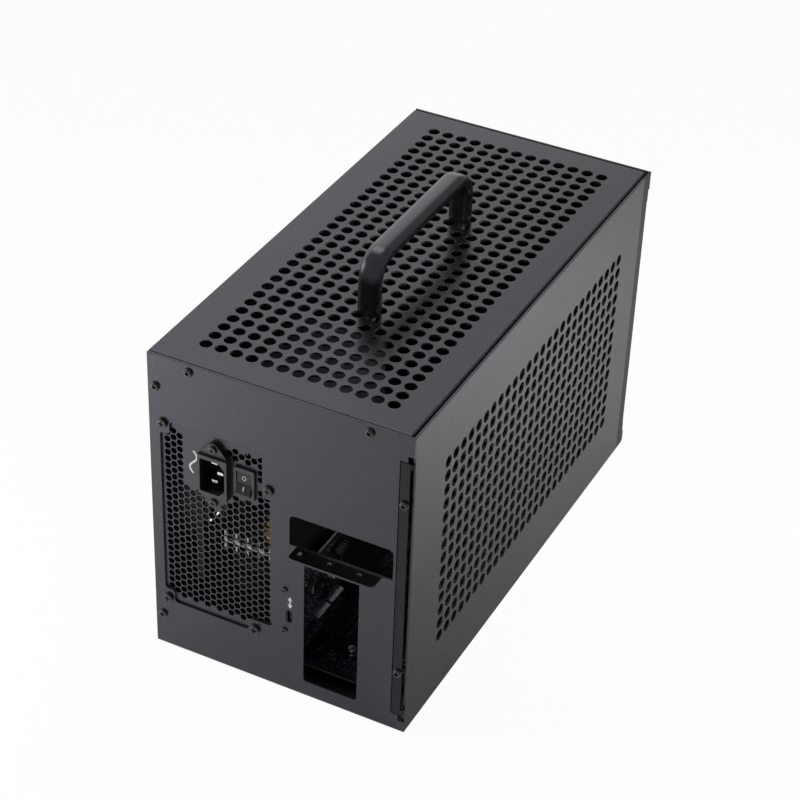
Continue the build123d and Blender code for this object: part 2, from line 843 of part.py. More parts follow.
# Power supply cover: fan wall with its stamped ring grille, and the two narrow walls
with BuildPart() as psu_cover:
    with BuildSketch(Plane.XZ.offset(-psu_rear)):
        with BuildLine():
            FilletPolyline(
                (psu_right, psu_bottom),
                (psu_left, psu_bottom),
                (psu_left, psu_top),
                (psu_right, psu_top),
                radius=psu_fold,
            )
            offset(amount=psu_sheet, side=Side.RIGHT)
        make_face()
    extrude(amount=-psu_depth)
    with BuildSketch(Plane.YZ.offset(psu_left)):
        with Locations((fan_y, fan_z)):
            for ring in reversed(range(grille_rings)):
                inner = grille_hub + ring * (grille_bar + grille_slot)
                Circle(inner + grille_slot)
                Circle(inner, mode=Mode.SUBTRACT)
            reach = 2 * (grille_hub + grille_rings * (grille_bar + grille_slot))
            Rectangle(reach, grille_spoke, rotation=45, mode=Mode.SUBTRACT)
            Rectangle(reach, grille_spoke, rotation=-45, mode=Mode.SUBTRACT)
            with Locations(fan_screw_points):
                Circle(fan_screw / 2 + screw_fit)
    extrude(amount=psu_sheet, mode=Mode.SUBTRACT)
psu_cover.part.label = "psu_cover"
export_step(psu_cover.part, "parts/psu_cover.step")

# Power supply screws, through the rear wall's tabs
psu_screws = cross_screws(
    psu_screw_plane,
    psu_screw_points,
    psu_screw_head,
    psu_screw_head_height,
    psu_screw_shank,
    psu_screw_length,
)
psu_screws.part.label = "psu_screws"
export_step(psu_screws.part, "parts/psu_screws.step")

# Mains inlet: pointed flange, raised rim, body and keyed socket, moulded as one
with BuildPart() as power_inlet:
    with BuildSketch(psu_face):
        with Locations((inlet_x, inlet_z)):
            Rectangle(inlet_width, inlet_height)
        with Locations(inlet_screw_points):
            Circle(inlet_ear_radius)
        make_hull()
        with Locations(inlet_screw_points):
            Circle(inlet_screw_shank / 2 + screw_fit, mode=Mode.SUBTRACT)
    extrude(amount=inlet_ear)
    with BuildSketch(psu_face):
        with Locations((inlet_x, inlet_z)):
            Rectangle(inlet_width, inlet_height)
    extrude(amount=inlet_rim)
    with BuildSketch(psu_face):
        with Locations((inlet_x, inlet_z)):
            Rectangle(inlet_body_width, inlet_body_height)
    extrude(amount=-inlet_depth)
    with BuildSketch(psu_face.offset(inlet_rim)) as mouth:
        with Locations((inlet_x, inlet_z)):
            Rectangle(socket_width, socket_height)
        chamfer(mouth.vertices().group_by(Axis.X)[-1], length=socket_chamfer)
        fillet(mouth.vertices().group_by(Axis.X)[0], radius=socket_corner)
    extrude(amount=-socket_depth, mode=Mode.SUBTRACT)
    with BuildSketch(socket_floor):
        with Locations(blade_points):
            Rectangle(blade_width + 2 * blade_fit, blade_thickness + 2 * blade_fit)
    extrude(amount=-inlet_depth, mode=Mode.SUBTRACT)
power_inlet.part.label = "power_inlet"
export_step(power_inlet.part, "parts/power_inlet.step")

# Inlet blades: two live ones and the earth, through the socket's floor
with BuildPart() as inlet_pins:
    with BuildSketch(socket_floor.offset(blade_length)):
        with Locations(blade_points):
            Rectangle(blade_width, blade_thickness)
    extrude(amount=socket_depth - inlet_rim - inlet_depth - blade_length)
inlet_pins.part.label = "inlet_pins"
export_step(inlet_pins.part, "parts/inlet_pins.step")

inlet_screws = cross_screws(
    psu_face.offset(inlet_ear),
    inlet_screw_points,
    inlet_screw_head,
    inlet_screw_head_height,
    inlet_screw_shank,
    inlet_ear + 2 * psu_sheet,
)
inlet_screws.part.label = "inlet_screws"
export_step(inlet_screws.part, "parts/inlet_screws.step")

# Switch bezel: snap-in housing with a well for the rocker and a bearing hole in each side
with BuildPart() as switch_bezel:
    with BuildSketch(psu_face):
        with Locations((switch_x, switch_z)):
            RectangleRounded(bezel_width, bezel_height, bezel_corner)
    extrude(amount=bezel_rim)
    with BuildSketch(psu_face):
        with Locations((switch_x, switch_z)):
            Rectangle(bezel_body_width, bezel_body_height)
    extrude(amount=-bezel_depth)
    with BuildSketch(psu_face.offset(bezel_rim)):
        with Locations((switch_x, switch_z)):
            Rectangle(rocker_width + 2 * rocker_side_gap, rocker_well_length)
    extrude(amount=-bezel_rim - rocker_well, mode=Mode.SUBTRACT)
    with BuildSketch(Plane.YZ.offset(rocker_middle_x - bezel_body_width / 2)):
        with Locations((psu_rear, rocker_middle_z)):
            Circle(rocker_pin + pivot_gap)
    extrude(amount=bezel_body_width, mode=Mode.SUBTRACT)
switch_bezel.part.label = "switch_bezel"
export_step(switch_bezel.part, "parts/switch_bezel.step")

# Rocker: dished key on two stub pins, stored with its upper half pressed in
with BuildPart() as switch_rocker:
    half_key = rocker_length / 2
    half_root = half_key - rocker_root / 2
    with BuildSketch(rocker_plane.offset(-rocker_width / 2)):
        with BuildLine():
            Polyline(
                (-rocker_crown, half_key),
                (-rocker_valley, 0),
                (-rocker_crown, -half_key),
                (rocker_root, -half_root),
                (rocker_root, half_root),
                close=True,
            )
        make_face()
    extrude(amount=rocker_width)
    pin_span = rocker_width + 2 * (rocker_side_gap + rocker_pin_reach)
    with BuildSketch(rocker_plane.offset(-pin_span / 2)):
        Circle(rocker_pin)
    extrude(amount=pin_span)
switch_rocker.part.label = "switch_rocker"
export_step(switch_rocker.part, "parts/switch_rocker.step")

# Fan frame: two square flanges on a round barrel, with the motor plate on struts and its shaft
with BuildPart() as psu_fan_frame:
    for flange_x in (fan_left, fan_right - fan_flange):
        with BuildSketch(Plane.YZ.offset(flange_x)):
            with Locations((fan_y, fan_z)):
                RectangleRounded(fan_size, fan_size, fan_corner)
                Circle(fan_bore / 2, mode=Mode.SUBTRACT)
            with Locations((fan_y, fan_z)):
                with Locations(fan_screw_points):
                    Circle(fan_screw / 2 + screw_fit, mode=Mode.SUBTRACT)
        extrude(amount=fan_flange)
    with BuildSketch(Plane.YZ.offset(fan_left)):
        with Locations((fan_y, fan_z)):
            Circle(fan_bore / 2 + fan_barrel_wall)
            Circle(fan_bore / 2, mode=Mode.SUBTRACT)
    extrude(amount=fan_thickness)
    with BuildSketch(Plane.YZ.offset(fan_right - fan_plate)):
        with Locations((fan_y, fan_z)):
            Circle(fan_hub / 2)
            Rectangle(fan_bore + fan_barrel_wall, fan_strut, rotation=45)
            Rectangle(fan_bore + fan_barrel_wall, fan_strut, rotation=-45)
    extrude(amount=fan_plate)
    with BuildSketch(Plane.YZ.offset(fan_right - fan_plate)):
        with Locations((fan_y, fan_z)):
            Circle(fan_shaft / 2)
    extrude(amount=-fan_hub_gap - fan_hub_length + 2 * fan_hub_wall)
psu_fan_frame.part.label = "psu_fan_frame"
export_step(psu_fan_frame.part, "parts/psu_fan_frame.step")

# Fan rotor: hub cup on the shaft with twisted blades
with BuildPart() as psu_fan_rotor:
    hub_right = fan_right - fan_plate - fan_hub_gap
    with BuildSketch(Plane.YZ.offset(hub_right)):
        with Locations((fan_y, fan_z)):
            Circle(fan_hub / 2)
    extrude(amount=-fan_hub_length)
    with BuildSketch(Plane.YZ.offset(hub_right)):
        with Locations((fan_y, fan_z)):
            Circle(fan_hub / 2 - fan_hub_wall)
            Circle(fan_boss / 2, mode=Mode.SUBTRACT)
    extrude(amount=fan_hub_wall - fan_hub_length, mode=Mode.SUBTRACT)
    for blade in range(fan_blades):
        turn = 2 * math.pi * blade / fan_blades
        outward = Vector(0, math.cos(turn), math.sin(turn))
        hub_middle = Vector(hub_right - fan_hub_length / 2, fan_y, fan_z)
        root = Plane(hub_middle + outward * (fan_hub / 2 - fan_hub_wall / 2), x_dir=(1, 0, 0), z_dir=outward)
        tip = Plane(hub_middle + outward * (fan_bore / 2 - fan_tip_gap), x_dir=(1, 0, 0), z_dir=outward)
        with BuildSketch(root):
            Rectangle(fan_blade_root, fan_blade_thickness, rotation=fan_blade_root_angle)
        with BuildSketch(tip):
            Rectangle(fan_blade_tip, fan_blade_thickness, rotation=fan_blade_tip_angle)
        loft()
    with BuildSketch(Plane.YZ.offset(hub_right)):
        with Locations((fan_y, fan_z)):
            Circle(fan_shaft / 2 + pivot_gap)
    extrude(amount=fan_hub_wall - fan_hub_length, mode=Mode.SUBTRACT)
psu_fan_rotor.part.label = "psu_fan_rotor"
export_step(psu_fan_rotor.part, "parts/psu_fan_rotor.step")

fan_screws = cross_screws(
    Plane((psu_left, fan_y, fan_z), x_dir=(0, 1, 0), z_dir=(-1, 0, 0)),
    fan_screw_points,
    fan_screw_head,
    fan_screw_head_height,
    fan_screw,
    fan_screw_length,
)
fan_screws.part.label = "fan_screws"
export_step(fan_screws.part, "parts/fan_screws.step")

# Power supply board on the pressed posts
with BuildPart() as psu_board:
    with BuildSketch(Plane.YZ.offset(psu_board_x)):
        with Locations((fan_y, fan_z)):
            Rectangle(psu_depth - 2 * psu_board_edge, psu_height - 2 * psu_board_edge)
    extrude(amount=board_thickness)
psu_board.part.label = "psu_board"
export_step(psu_board.part, "parts/psu_board.step")

# Heat sinks of the power supply: finned extrusions standing on its board
sink_names = ("psu_heatsink_lower", "psu_heatsink_upper")
for sink_name, sink_z, sink_start in zip(sink_names, sink_heights, sink_starts):
    with BuildPart() as psu_heatsink:
        with BuildSketch(Plane.XZ.offset(-psu_rear - sink_start)):
            with Locations((psu_board_x - sink_height / 2, psu_bottom + sink_z)):
                Rectangle(sink_height, sink_stem)
                fin_pitch = (sink_height - sink_fin_thickness) / sink_fin_count
                for fin in range(sink_fin_count):
                    with Locations((sink_fin_thickness / 2 - sink_height / 2 + fin * fin_pitch, 0)):
                        Rectangle(sink_fin_thickness, sink_fin)
        extrude(amount=-sink_length)
    psu_heatsink.part.label = sink_name
    export_step(psu_heatsink.part, f"parts/{sink_name}.step")

# Transformer: ferrite frame round a wound bobbin
with BuildPart() as psu_transformer:
    transformer_y = psu_rear + transformer_from_face
    transformer_middle = psu_bottom + transformer_z
    with BuildSketch(Plane.YZ.offset(psu_board_x)):
        with Locations((transformer_y, transformer_middle)):
            bobbin_width = transformer_width - 2 * transformer_wall
            RectangleRounded(transformer_length, bobbin_width, transformer_window / 2)
            Rectangle(transformer_length - 2 * transformer_window, transformer_width)
    extrude(amount=-transformer_height)
    fillet(psu_transformer.edges().group_by(Axis.X)[0], radius=capacitor_edge)
psu_transformer.part.label = "psu_transformer"
export_step(psu_transformer.part, "parts/psu_transformer.step")

# Choke: ring core lying on the board
with BuildPart() as psu_choke:
    choke_middle = (psu_board_x - choke_wire, psu_rear + choke_from_face, psu_bottom + choke_z)
    with BuildSketch(Plane(choke_middle)):
        with Locations((0, choke_ring)):
            Circle(choke_wire)
    revolve(axis=Axis(choke_middle, (1, 0, 0)), revolution_arc=360)
psu_choke.part.label = "psu_choke"
export_step(psu_choke.part, "parts/psu_choke.step")

# Capacitors: two upright cans near the inlet
for capacitor_name, capacitor_z in zip(("psu_capacitor_lower", "psu_capacitor_upper"), capacitor_heights):
    with BuildPart() as psu_capacitor:
        with BuildSketch(Plane.YZ.offset(psu_board_x)):
            with Locations((psu_rear + capacitor_from_face, psu_bottom + capacitor_z)):
                Circle(capacitor_diameter / 2)
        extrude(amount=-capacitor_height)
        fillet(psu_capacitor.edges().group_by(Axis.X)[0], radius=capacitor_edge)
    psu_capacitor.part.label = capacitor_name
    export_step(psu_capacitor.part, f"parts/{capacitor_name}.step")

# Grommet in the power supply's front face
with BuildPart() as psu_grommet:
    grommet_radius = grommet_bore / 2 + grommet_wall
    with BuildSketch(psu_front_face.offset(-grommet_lip)):
        with Locations(grommet_point):
            Circle(grommet_radius + grommet_flange)
    extrude(amount=grommet_lip)
    with BuildSketch(psu_front_face.offset(psu_sheet)):
        with Locations(grommet_point):
            Circle(grommet_radius + grommet_flange)
    extrude(amount=grommet_lip)
    with BuildSketch(psu_front_face):
        with Locations(grommet_point):
            Circle(grommet_radius - fit / 2)
    extrude(amount=psu_sheet)
    with BuildSketch(psu_front_face.offset(-grommet_lip)):
        with Locations(grommet_point):
            Circle(grommet_bore / 2)
    extrude(amount=psu_sheet + 2 * grommet_lip, mode=Mode.SUBTRACT)
psu_grommet.part.label = "psu_grommet"
export_step(psu_grommet.part, "parts/psu_grommet.step")

# Card board on four standoffs over the floor
with BuildPart() as card_board:
    with BuildSketch(Plane.XY.offset(card_board_bottom)):
        with Locations((card_board_left + card_board_width / 2, card_board_rear + card_board_length / 2)):
            Rectangle(card_board_width, card_board_length)
        with Locations(standoff_points):
            Circle(board_screw_hole / 2, mode=Mode.SUBTRACT)
    extrude(amount=board_thickness)
card_board.part.label = "card_board"
export_step(card_board.part, "parts/card_board.step")

with BuildPart() as board_standoffs:
    with BuildSketch(Plane.XY.offset(floor_z + sheet)):
        with Locations(standoff_points):
            RegularPolygon(standoff_flats / 2, 6, major_radius=False)
            Circle(board_screw_shank / 2 + screw_fit, mode=Mode.SUBTRACT)
    extrude(amount=standoff_height)
board_standoffs.part.label = "board_standoffs"
export_step(board_standoffs.part, "parts/board_standoffs.step")

board_screws = cross_screws(
    Plane.XY.offset(card_board_top),
    standoff_points,
    board_screw_head,
    board_screw_head_height,
    board_screw_shank,
    board_thickness + standoff_height + sheet / 2,
)
board_screws.part.label = "board_screws"
export_step(board_screws.part, "parts/board_screws.step")

# Card slot: keyed edge socket with two ears at its far end for the latch
with BuildPart() as card_slot:
    with BuildSketch(Plane.XY.offset(card_board_top)):
        with Locations((card_x, card_slot_rear + card_slot_length / 2)):
            Rectangle(card_slot_width, card_slot_length)
    extrude(amount=card_slot_height)
    chamfer(card_slot.edges().group_by(Axis.Z)[-1].filter_by(Axis.Y), length=card_slot_chamfer)
    groove_start = card_slot_rear + card_groove_end
    long_start = groove_start + card_groove_short + card_groove_key
    long_length = card_slot_front - card_groove_end - long_start
    with BuildSketch(Plane.XY.offset(card_board_top + card_slot_height)):
        with Locations((card_x, groove_start + card_groove_short / 2)):
            Rectangle(card_groove, card_groove_short)
        with Locations((card_x, long_start + long_length / 2)):
            Rectangle(card_groove, long_length)
    extrude(amount=-card_groove_depth, mode=Mode.SUBTRACT)
    with BuildSketch(Plane.XY.offset(card_board_top)):
        with Locations((card_x, card_slot_front + latch_reach / 2)):
            with GridLocations(card_slot_width - latch_wall, 0, 2, 1):
                Rectangle(latch_wall, latch_reach)
    extrude(amount=latch_pivot_up + latch_boss)
    with BuildSketch(Plane.YZ.offset(card_x - card_slot_width / 2)):
        with Locations((latch_y, latch_z)):
            Circle(latch_pin + pivot_gap)
    extrude(amount=card_slot_width, mode=Mode.SUBTRACT)
card_slot.part.label = "card_slot"
export_step(card_slot.part, "parts/card_slot.step")

# Slot latch: lever on stub pins, hooked over the slot's end
with BuildPart() as slot_latch:
    with BuildSketch(Plane.YZ.offset(card_x - latch_width / 2)):
        with Locations((latch_y, latch_z)):
            Circle(latch_boss)
            with Locations((0, latch_lever / 2)):
                Rectangle(latch_arm, latch_lever)
            with Locations((-(latch_arm + latch_hook) / 2, latch_hook_rise)):
                Rectangle(latch_hook, latch_hook_height)
            with Locations(((latch_thumb - latch_arm) / 2, latch_lever - latch_thumb_height / 2)):
                Rectangle(latch_thumb, latch_thumb_height)
    extrude(amount=latch_width)
    latch_span = latch_width + 2 * latch_gap + latch_wall
    with BuildSketch(Plane.YZ.offset(card_x - latch_span / 2)):
        with Locations((latch_y, latch_z)):
            Circle(latch_pin)
    extrude(amount=latch_span)
slot_latch.part.label = "slot_latch"
export_step(slot_latch.part, "parts/slot_latch.step")

# Controller chip and its finned heat sink
with BuildPart() as controller_chip:
    with BuildSketch(Plane.XY.offset(card_board_top)):
        with Locations((chip_x, card_board_rear + chip_from_edge)):
            Rectangle(chip_size, chip_size)
    extrude(amount=chip_height)
controller_chip.part.label = "controller_chip"
export_step(controller_chip.part, "parts/controller_chip.step")

with BuildPart() as chip_heatsink:
    with BuildSketch(Plane.XY.offset(card_board_top + chip_height)):
        with Locations((chip_x, card_board_rear + chip_from_edge)):
            Rectangle(sink_base_size, sink_base_size)
    extrude(amount=sink_base)
    with BuildSketch(Plane.XY.offset(card_board_top + chip_height + sink_base)):
        with Locations((chip_x, card_board_rear + chip_from_edge)):
            chip_fin_pitch = (sink_base_size - chip_fin_thickness) / (chip_fin_count - 1)
            with GridLocations(chip_fin_pitch, 0, chip_fin_count, 1):
                Rectangle(chip_fin_thickness, sink_base_size)
    extrude(amount=chip_fin_height)
chip_heatsink.part.label = "chip_heatsink"
export_step(chip_heatsink.part, "parts/chip_heatsink.step")

# Power socket for the supply's lead
with BuildPart() as power_socket:
    power_y = card_board_rear + card_board_length - power_from_front
    with BuildSketch(Plane.XY.offset(card_board_top)):
        with Locations((power_x, power_y)):
            Rectangle(power_rows * power_pitch + 2 * power_wall, power_columns * power_pitch + 2 * power_wall)
    extrude(amount=power_height)
    with BuildSketch(Plane.XY.offset(card_board_top + power_height)):
        with Locations((power_x, power_y)):
            with GridLocations(power_pitch, power_pitch, power_rows, power_columns):
                Rectangle(power_cell, power_cell)
    extrude(amount=-power_cell_depth, mode=Mode.SUBTRACT)
power_socket.part.label = "power_socket"
export_step(power_socket.part, "parts/power_socket.step")

# Link socket that takes the port board's lower edge
with BuildPart() as link_socket:
    with BuildSketch(Plane.XY.offset(card_board_top)):
        with Locations((port_board_middle, rear_y + link_start + link_length / 2)):
            Rectangle(link_width, link_length)
    extrude(amount=link_height)
    with BuildSketch(Plane.XY.offset(card_board_top + link_height)):
        with Locations((port_board_middle, rear_y + link_start + link_length / 2)):
            Rectangle(board_thickness + 2 * link_fit, link_length - 2 * link_clear)
    extrude(amount=-link_groove_depth, mode=Mode.SUBTRACT)
link_socket.part.label = "link_socket"
export_step(link_socket.part, "parts/link_socket.step")

# Port board: upright, with a nose behind the data port and an edge down in the link socket
with BuildPart() as port_board:
    board_foot = card_board_top + link_height + link_clear
    board_head = floor_z + port_board_top
    link_floor = card_board_top + link_height - link_groove_depth
    with BuildSketch(Plane.YZ.offset(port_board_left)):
        with Locations((rear_y + port_board_start + port_board_length / 2, (board_foot + board_head) / 2)):
            Rectangle(port_board_length, board_head - board_foot)
        with Locations((rear_y + (port_nose_start + port_board_start) / 2, port_z)):
            Rectangle(port_board_start - port_nose_start, port_nose_height)
        with Locations((rear_y + link_start + link_length / 2, (link_floor + board_foot) / 2)):
            Rectangle(link_length - 4 * link_clear, board_foot - link_floor)
        with Locations(port_spacer_points):
            Circle(port_spacer_hole / 2, mode=Mode.SUBTRACT)
    extrude(amount=board_thickness)
port_board.part.label = "port_board"
export_step(port_board.part, "parts/port_board.step")

# Port bracket: a web beside the power supply with two lugs turned behind the rear wall
with BuildPart() as port_bracket:
    web_bottom = floor_z + min(port_screw_heights) - port_lug_height / 2
    web_top = floor_z + max(port_screw_heights) + port_lug_height / 2
    with BuildSketch(Plane.YZ.offset(port_web_x)):
        with Locations((psu_rear + port_web_length / 2, (web_bottom + web_top) / 2)):
            Rectangle(port_web_length, web_top - web_bottom)
        with Locations(port_spacer_points):
            Circle(port_spacer_hole / 2, mode=Mode.SUBTRACT)
    extrude(amount=port_web)
    with BuildSketch(rear_wall.offset(-sheet)):
        for height in port_screw_heights:
            with Locations((port_web_x + port_lug_width / 2, floor_z + height)):
                Rectangle(port_lug_width, port_lug_height)
        with Locations(port_lug_points):
            Circle(port_screw_shank / 2 + screw_fit, mode=Mode.SUBTRACT)
    extrude(amount=-port_web)
port_bracket.part.label = "port_bracket"
export_step(port_bracket.part, "parts/port_bracket.step")

with BuildPart() as port_spacers:
    with BuildSketch(Plane.YZ.offset(port_web_x + port_web)):
        with Locations(port_spacer_points):
            Circle(port_spacer / 2)
            Circle(port_spacer_hole / 2, mode=Mode.SUBTRACT)
    extrude(amount=port_board_left - port_web_x - port_web)
port_spacers.part.label = "port_spacers"
export_step(port_spacers.part, "parts/port_spacers.step")

# Data port: drawn oval shell with its tongue
with BuildPart() as data_port_shell:
    with BuildSketch(port_mouth):
        SlotOverall(port_length, port_thickness, rotation=90)
    extrude(amount=-port_depth)
    with BuildSketch(port_mouth):
        SlotOverall(port_length - 2 * port_wall, port_thickness - 2 * port_wall, rotation=90)
    extrude(amount=port_back - port_depth, mode=Mode.SUBTRACT)
data_port_shell.part.label = "data_port_shell"
export_step(data_port_shell.part, "parts/data_port_shell.step")

with BuildPart() as data_port_tongue:
    with BuildSketch(port_mouth.offset(-port_tongue_inset)):
        Rectangle(port_tongue, port_tongue_width)
    extrude(amount=port_tongue_inset + port_back - port_depth)
data_port_tongue.part.label = "data_port_tongue"
export_step(data_port_tongue.part, "parts/data_port_tongue.step")

port_screws = cross_screws(
    rear_wall, port_lug_points, port_screw_head, port_screw_head_height, port_screw_shank, port_screw_length
)
port_screws.part.label = "port_screws"
export_step(port_screws.part, "parts/port_screws.step")
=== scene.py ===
import json
import math
import random

import bmesh
import bpy
from mathutils import Matrix, Vector


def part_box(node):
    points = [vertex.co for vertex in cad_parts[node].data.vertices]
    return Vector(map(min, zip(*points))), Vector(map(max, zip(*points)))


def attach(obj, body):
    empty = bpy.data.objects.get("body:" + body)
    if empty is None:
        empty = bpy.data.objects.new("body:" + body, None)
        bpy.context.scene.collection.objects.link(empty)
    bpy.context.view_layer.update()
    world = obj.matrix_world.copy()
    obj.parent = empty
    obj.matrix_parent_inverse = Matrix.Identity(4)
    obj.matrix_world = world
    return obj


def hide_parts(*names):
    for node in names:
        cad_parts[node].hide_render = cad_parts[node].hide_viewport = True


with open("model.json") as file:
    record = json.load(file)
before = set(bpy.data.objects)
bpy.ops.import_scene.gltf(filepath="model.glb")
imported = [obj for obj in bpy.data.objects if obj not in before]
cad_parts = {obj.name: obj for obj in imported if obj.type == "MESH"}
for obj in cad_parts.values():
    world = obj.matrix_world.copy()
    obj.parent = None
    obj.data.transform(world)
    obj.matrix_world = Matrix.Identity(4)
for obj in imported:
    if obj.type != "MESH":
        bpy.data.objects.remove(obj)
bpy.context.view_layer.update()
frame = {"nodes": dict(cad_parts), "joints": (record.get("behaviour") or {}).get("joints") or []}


# Case sheet: the folded chassis with its end walls, and the top and side panels screwed over it.
# Cold-rolled steel, laser cut and folded, under a satin black powder coat with a fine orange peel.
# A darker, duller coat mixed in on top of the bracket shelf and on the access panel's end flanges is painted
# shade.
class Shade:
    """A shader socket whose arithmetic adds Math nodes to its material."""

    def __init__(self, tree, socket=None):
        self.tree = tree
        self.socket = socket

    def node(self, kind, settings, sockets, output=0):
        """Adds a node, applies its settings, then fills its sockets with values or links."""
        made = self.tree.nodes.new(kind)
        for name, value in settings.items():
            setattr(made, name, value)
        for name, value in sockets.items():
            if isinstance(value, Shade):
                self.tree.links.new(value.socket, made.inputs[name])
            else:
                made.inputs[name].default_value = value
        return Shade(self.tree, made.outputs[output])

    def math(self, operation, first, second):
        return self.node("ShaderNodeMath", {"operation": operation}, {0: first, 1: second})

    def __add__(self, other):
        return self.math("ADD", self, other)

    def __sub__(self, other):
        return self.math("SUBTRACT", self, other)

    def __rsub__(self, other):
        return self.math("SUBTRACT", other, self)

    def __mul__(self, other):
        return self.math("MULTIPLY", self, other)

    def __gt__(self, other):
        return self.math("GREATER_THAN", self, other)

    __radd__ = __add__
    __rmul__ = __mul__


class Finish:
    """A material under way: its surface shader, and a place to start expressions from."""

    def __init__(self, name, **constants):
        self.material = bpy.data.materials.new(name)
        self.material.use_nodes = True
        tree = self.material.node_tree
        self.surface = tree.nodes["Principled BSDF"]
        self.start = Shade(tree)
        for socket, value in constants.items():
            self.surface.inputs[socket.replace("_", " ")].default_value = value
        self.place = self.start.node("ShaderNodeTexCoord", {}, {}, "Object")

    def feed(self, socket, shade):
        self.start.tree.links.new(shade.socket, self.surface.inputs[socket])

    def noise(self, per_metre, detail=2.0, place=None):
        sockets = {"Vector": place or self.place, "Scale": per_metre, "Detail": detail}
        return self.start.node("ShaderNodeTexNoise", {}, sockets)

    def facing(self, axis):
        """The part of the surface's normal along an axis of the object."""
        normal = self.start.node("ShaderNodeTexCoord", {}, {}, "Normal")
        return self.start.node("ShaderNodeSeparateXYZ", {}, {0: normal}, axis)

    def absolute(self, shade):
        return self.start.math("ABSOLUTE", shade, 0.0)

    def blend(self, factor, first, second):
        """Mixes two colours, each a triple or an earlier blend."""
        first, second = (c if isinstance(c, Shade) else (*c, 1.0) for c in (first, second))
        return self.start.node("ShaderNodeMix", {"data_type": "RGBA"}, {0: factor, 6: first, 7: second}, 2)

    def bump(self, height, metres, strength=1.0, edge=0.0):
        """Relief of a texture; an edge radius in metres also softens the sharp edges of the mesh."""
        sockets = {"Height": height, "Distance": metres, "Strength": strength}
        if edge:
            sockets["Normal"] = self.start.node("ShaderNodeBevel", {"samples": 4}, {"Radius": edge})
        self.feed("Normal", self.start.node("ShaderNodeBump", {}, sockets))

    def cover(self, share, shader):
        """Mixes another shader over the surface; the share may vary from place to place."""
        under = Shade(self.start.tree, self.surface.outputs[0])
        mixed = self.start.node("ShaderNodeMixShader", {}, {0: share, 1: under, 2: shader})
        output = self.start.tree.nodes["Material Output"]
        self.start.tree.links.new(mixed.socket, output.inputs["Surface"])


def dress(material, *nodes):
    """Gives pieces of the frame a material in place of their plain one."""
    for node in nodes:
        for carried in frame["nodes"][node].material_slots:
            carried.material = material


def powder_coat(name, shades, gloss, grain_per_metre, peel, edge, painted_shade_places=None):
    """Baked powder: two near shades that drift, a drifting gloss, an orange peel and soft edges."""
    finish = Finish(name, Specular_IOR_Level=1.0, Specular_Tint=(0.88, 0.86, 1.0, 1.0))
    drift_per_metre, detail = 9.0, 3.0
    drift_shade, grain_shade = 0.7, 0.3
    drift_gloss, grain_gloss = 0.08, 0.06
    mean_gloss = (drift_gloss + grain_gloss) / 2
    peel_strength = 0.5
    drift = finish.noise(drift_per_metre, detail)
    grain = finish.noise(grain_per_metre, detail)
    finish.feed("Base Color", finish.blend(drift * drift_shade + grain * grain_shade, *shades))
    finish.feed("Roughness", gloss + drift * drift_gloss + grain * grain_gloss - mean_gloss)
    finish.bump(grain, peel, peel_strength, edge)
    # Where the places' mask is up, a darker, flatter coat is mixed in as painted shade.
    if painted_shade_places:
        painted_shade_coat = {
            "Base Color": (0.003, 0.003, 0.0033, 1.0),
            "Roughness": 0.5,
            "Specular IOR Level": 0.12,
        }
        finish.cover(painted_shade_places(finish), finish.start.node("ShaderNodeBsdfPrincipled", {}, painted_shade_coat))
    return finish.material


mm = 0.001
shelf_start = -174.5 * mm
shelf_facing = 0.5
flange_start = 172.0 * mm
flange_shade_share = 0.6


def along_case(finish):
    return finish.start.node("ShaderNodeSeparateXYZ", {}, {0: finish.place}, "Y")


def shelf_top_painted_shade(finish):
    """Is 1 on the upper face of the bracket shelf, where painted shade darkens the coat."""
    return (shelf_start - along_case(finish) > 0.0) * (finish.facing("Z") > shelf_facing)


def end_flanges_painted_shade(finish):
    """Is the share of painted shade on the turned-in ends of the access panel."""
    return (finish.absolute(along_case(finish)) > flange_start) * flange_shade_share


case_powder = {
    "shades": ((0.0060, 0.0058, 0.0066), (0.0095, 0.0092, 0.0104)),
    "gloss": 0.27,
    "grain_per_metre": 1100.0,
    "peel": 0.04 * mm,
    "edge": 0.5 * mm,
}
dress(powder_coat("case_coat", **case_powder), "top_panel", "left_panel")
# Painted shade: the chassis's shelf top and the access panel's end flanges are darkened.
dress(powder_coat("chassis_coat", **case_powder, painted_shade_places=shelf_top_painted_shade), "chassis")
dress(powder_coat("access_coat", **case_powder, painted_shade_places=end_flanges_painted_shade), "right_panel")


# Feet: four soft rubber buttons, pushed through the floor until their barbs snap over the sheet.
# Moulded black rubber with a matt, slightly dusty skin.
def moulded(name, shades, gloss, grain_per_metre, depth, shine=0.5):
    """Moulded plastic or rubber: an even colour, a spark-eroded grain and a soft sheen."""
    finish = Finish(name, Specular_IOR_Level=shine)
    detail, grain_gloss, grain_strength = 4.0, 0.12, 0.5
    grain = finish.noise(grain_per_metre, detail)
    finish.feed("Base Color", finish.blend(grain, *shades))
    finish.feed("Roughness", gloss + grain * grain_gloss)
    finish.bump(grain, depth, grain_strength)
    return finish.material


rubber_shades = ((0.010, 0.010, 0.010), (0.020, 0.020, 0.020))
rubber = moulded("soft_rubber", rubber_shades, gloss=0.72, grain_per_metre=1200.0, depth=0.08 * mm)
dress(rubber, "foot_rear_left", "foot_rear_right", "foot_front_left", "foot_front_right")


# Power supply shell: a folded case with the honeycomb face, and a cover with the fan's ring grille.
# Thin steel with a black coat, duller on the cover; a rubber grommet lines the hole in its front.
# Four screws hold it to the rear wall.
supply_powder = {"grain_per_metre": 1500.0, "peel": 0.04 * mm, "edge": 0.2 * mm}
face_shades = ((0.0065, 0.0064, 0.0070), (0.0100, 0.0098, 0.0108))
cover_shades = ((0.004, 0.004, 0.004), (0.007, 0.007, 0.007))
dress(powder_coat("supply_face", face_shades, gloss=0.34, **supply_powder), "psu_case")
dress(powder_coat("supply_cover", cover_shades, gloss=0.62, **supply_powder), "psu_cover")
dress(rubber, "psu_grommet")


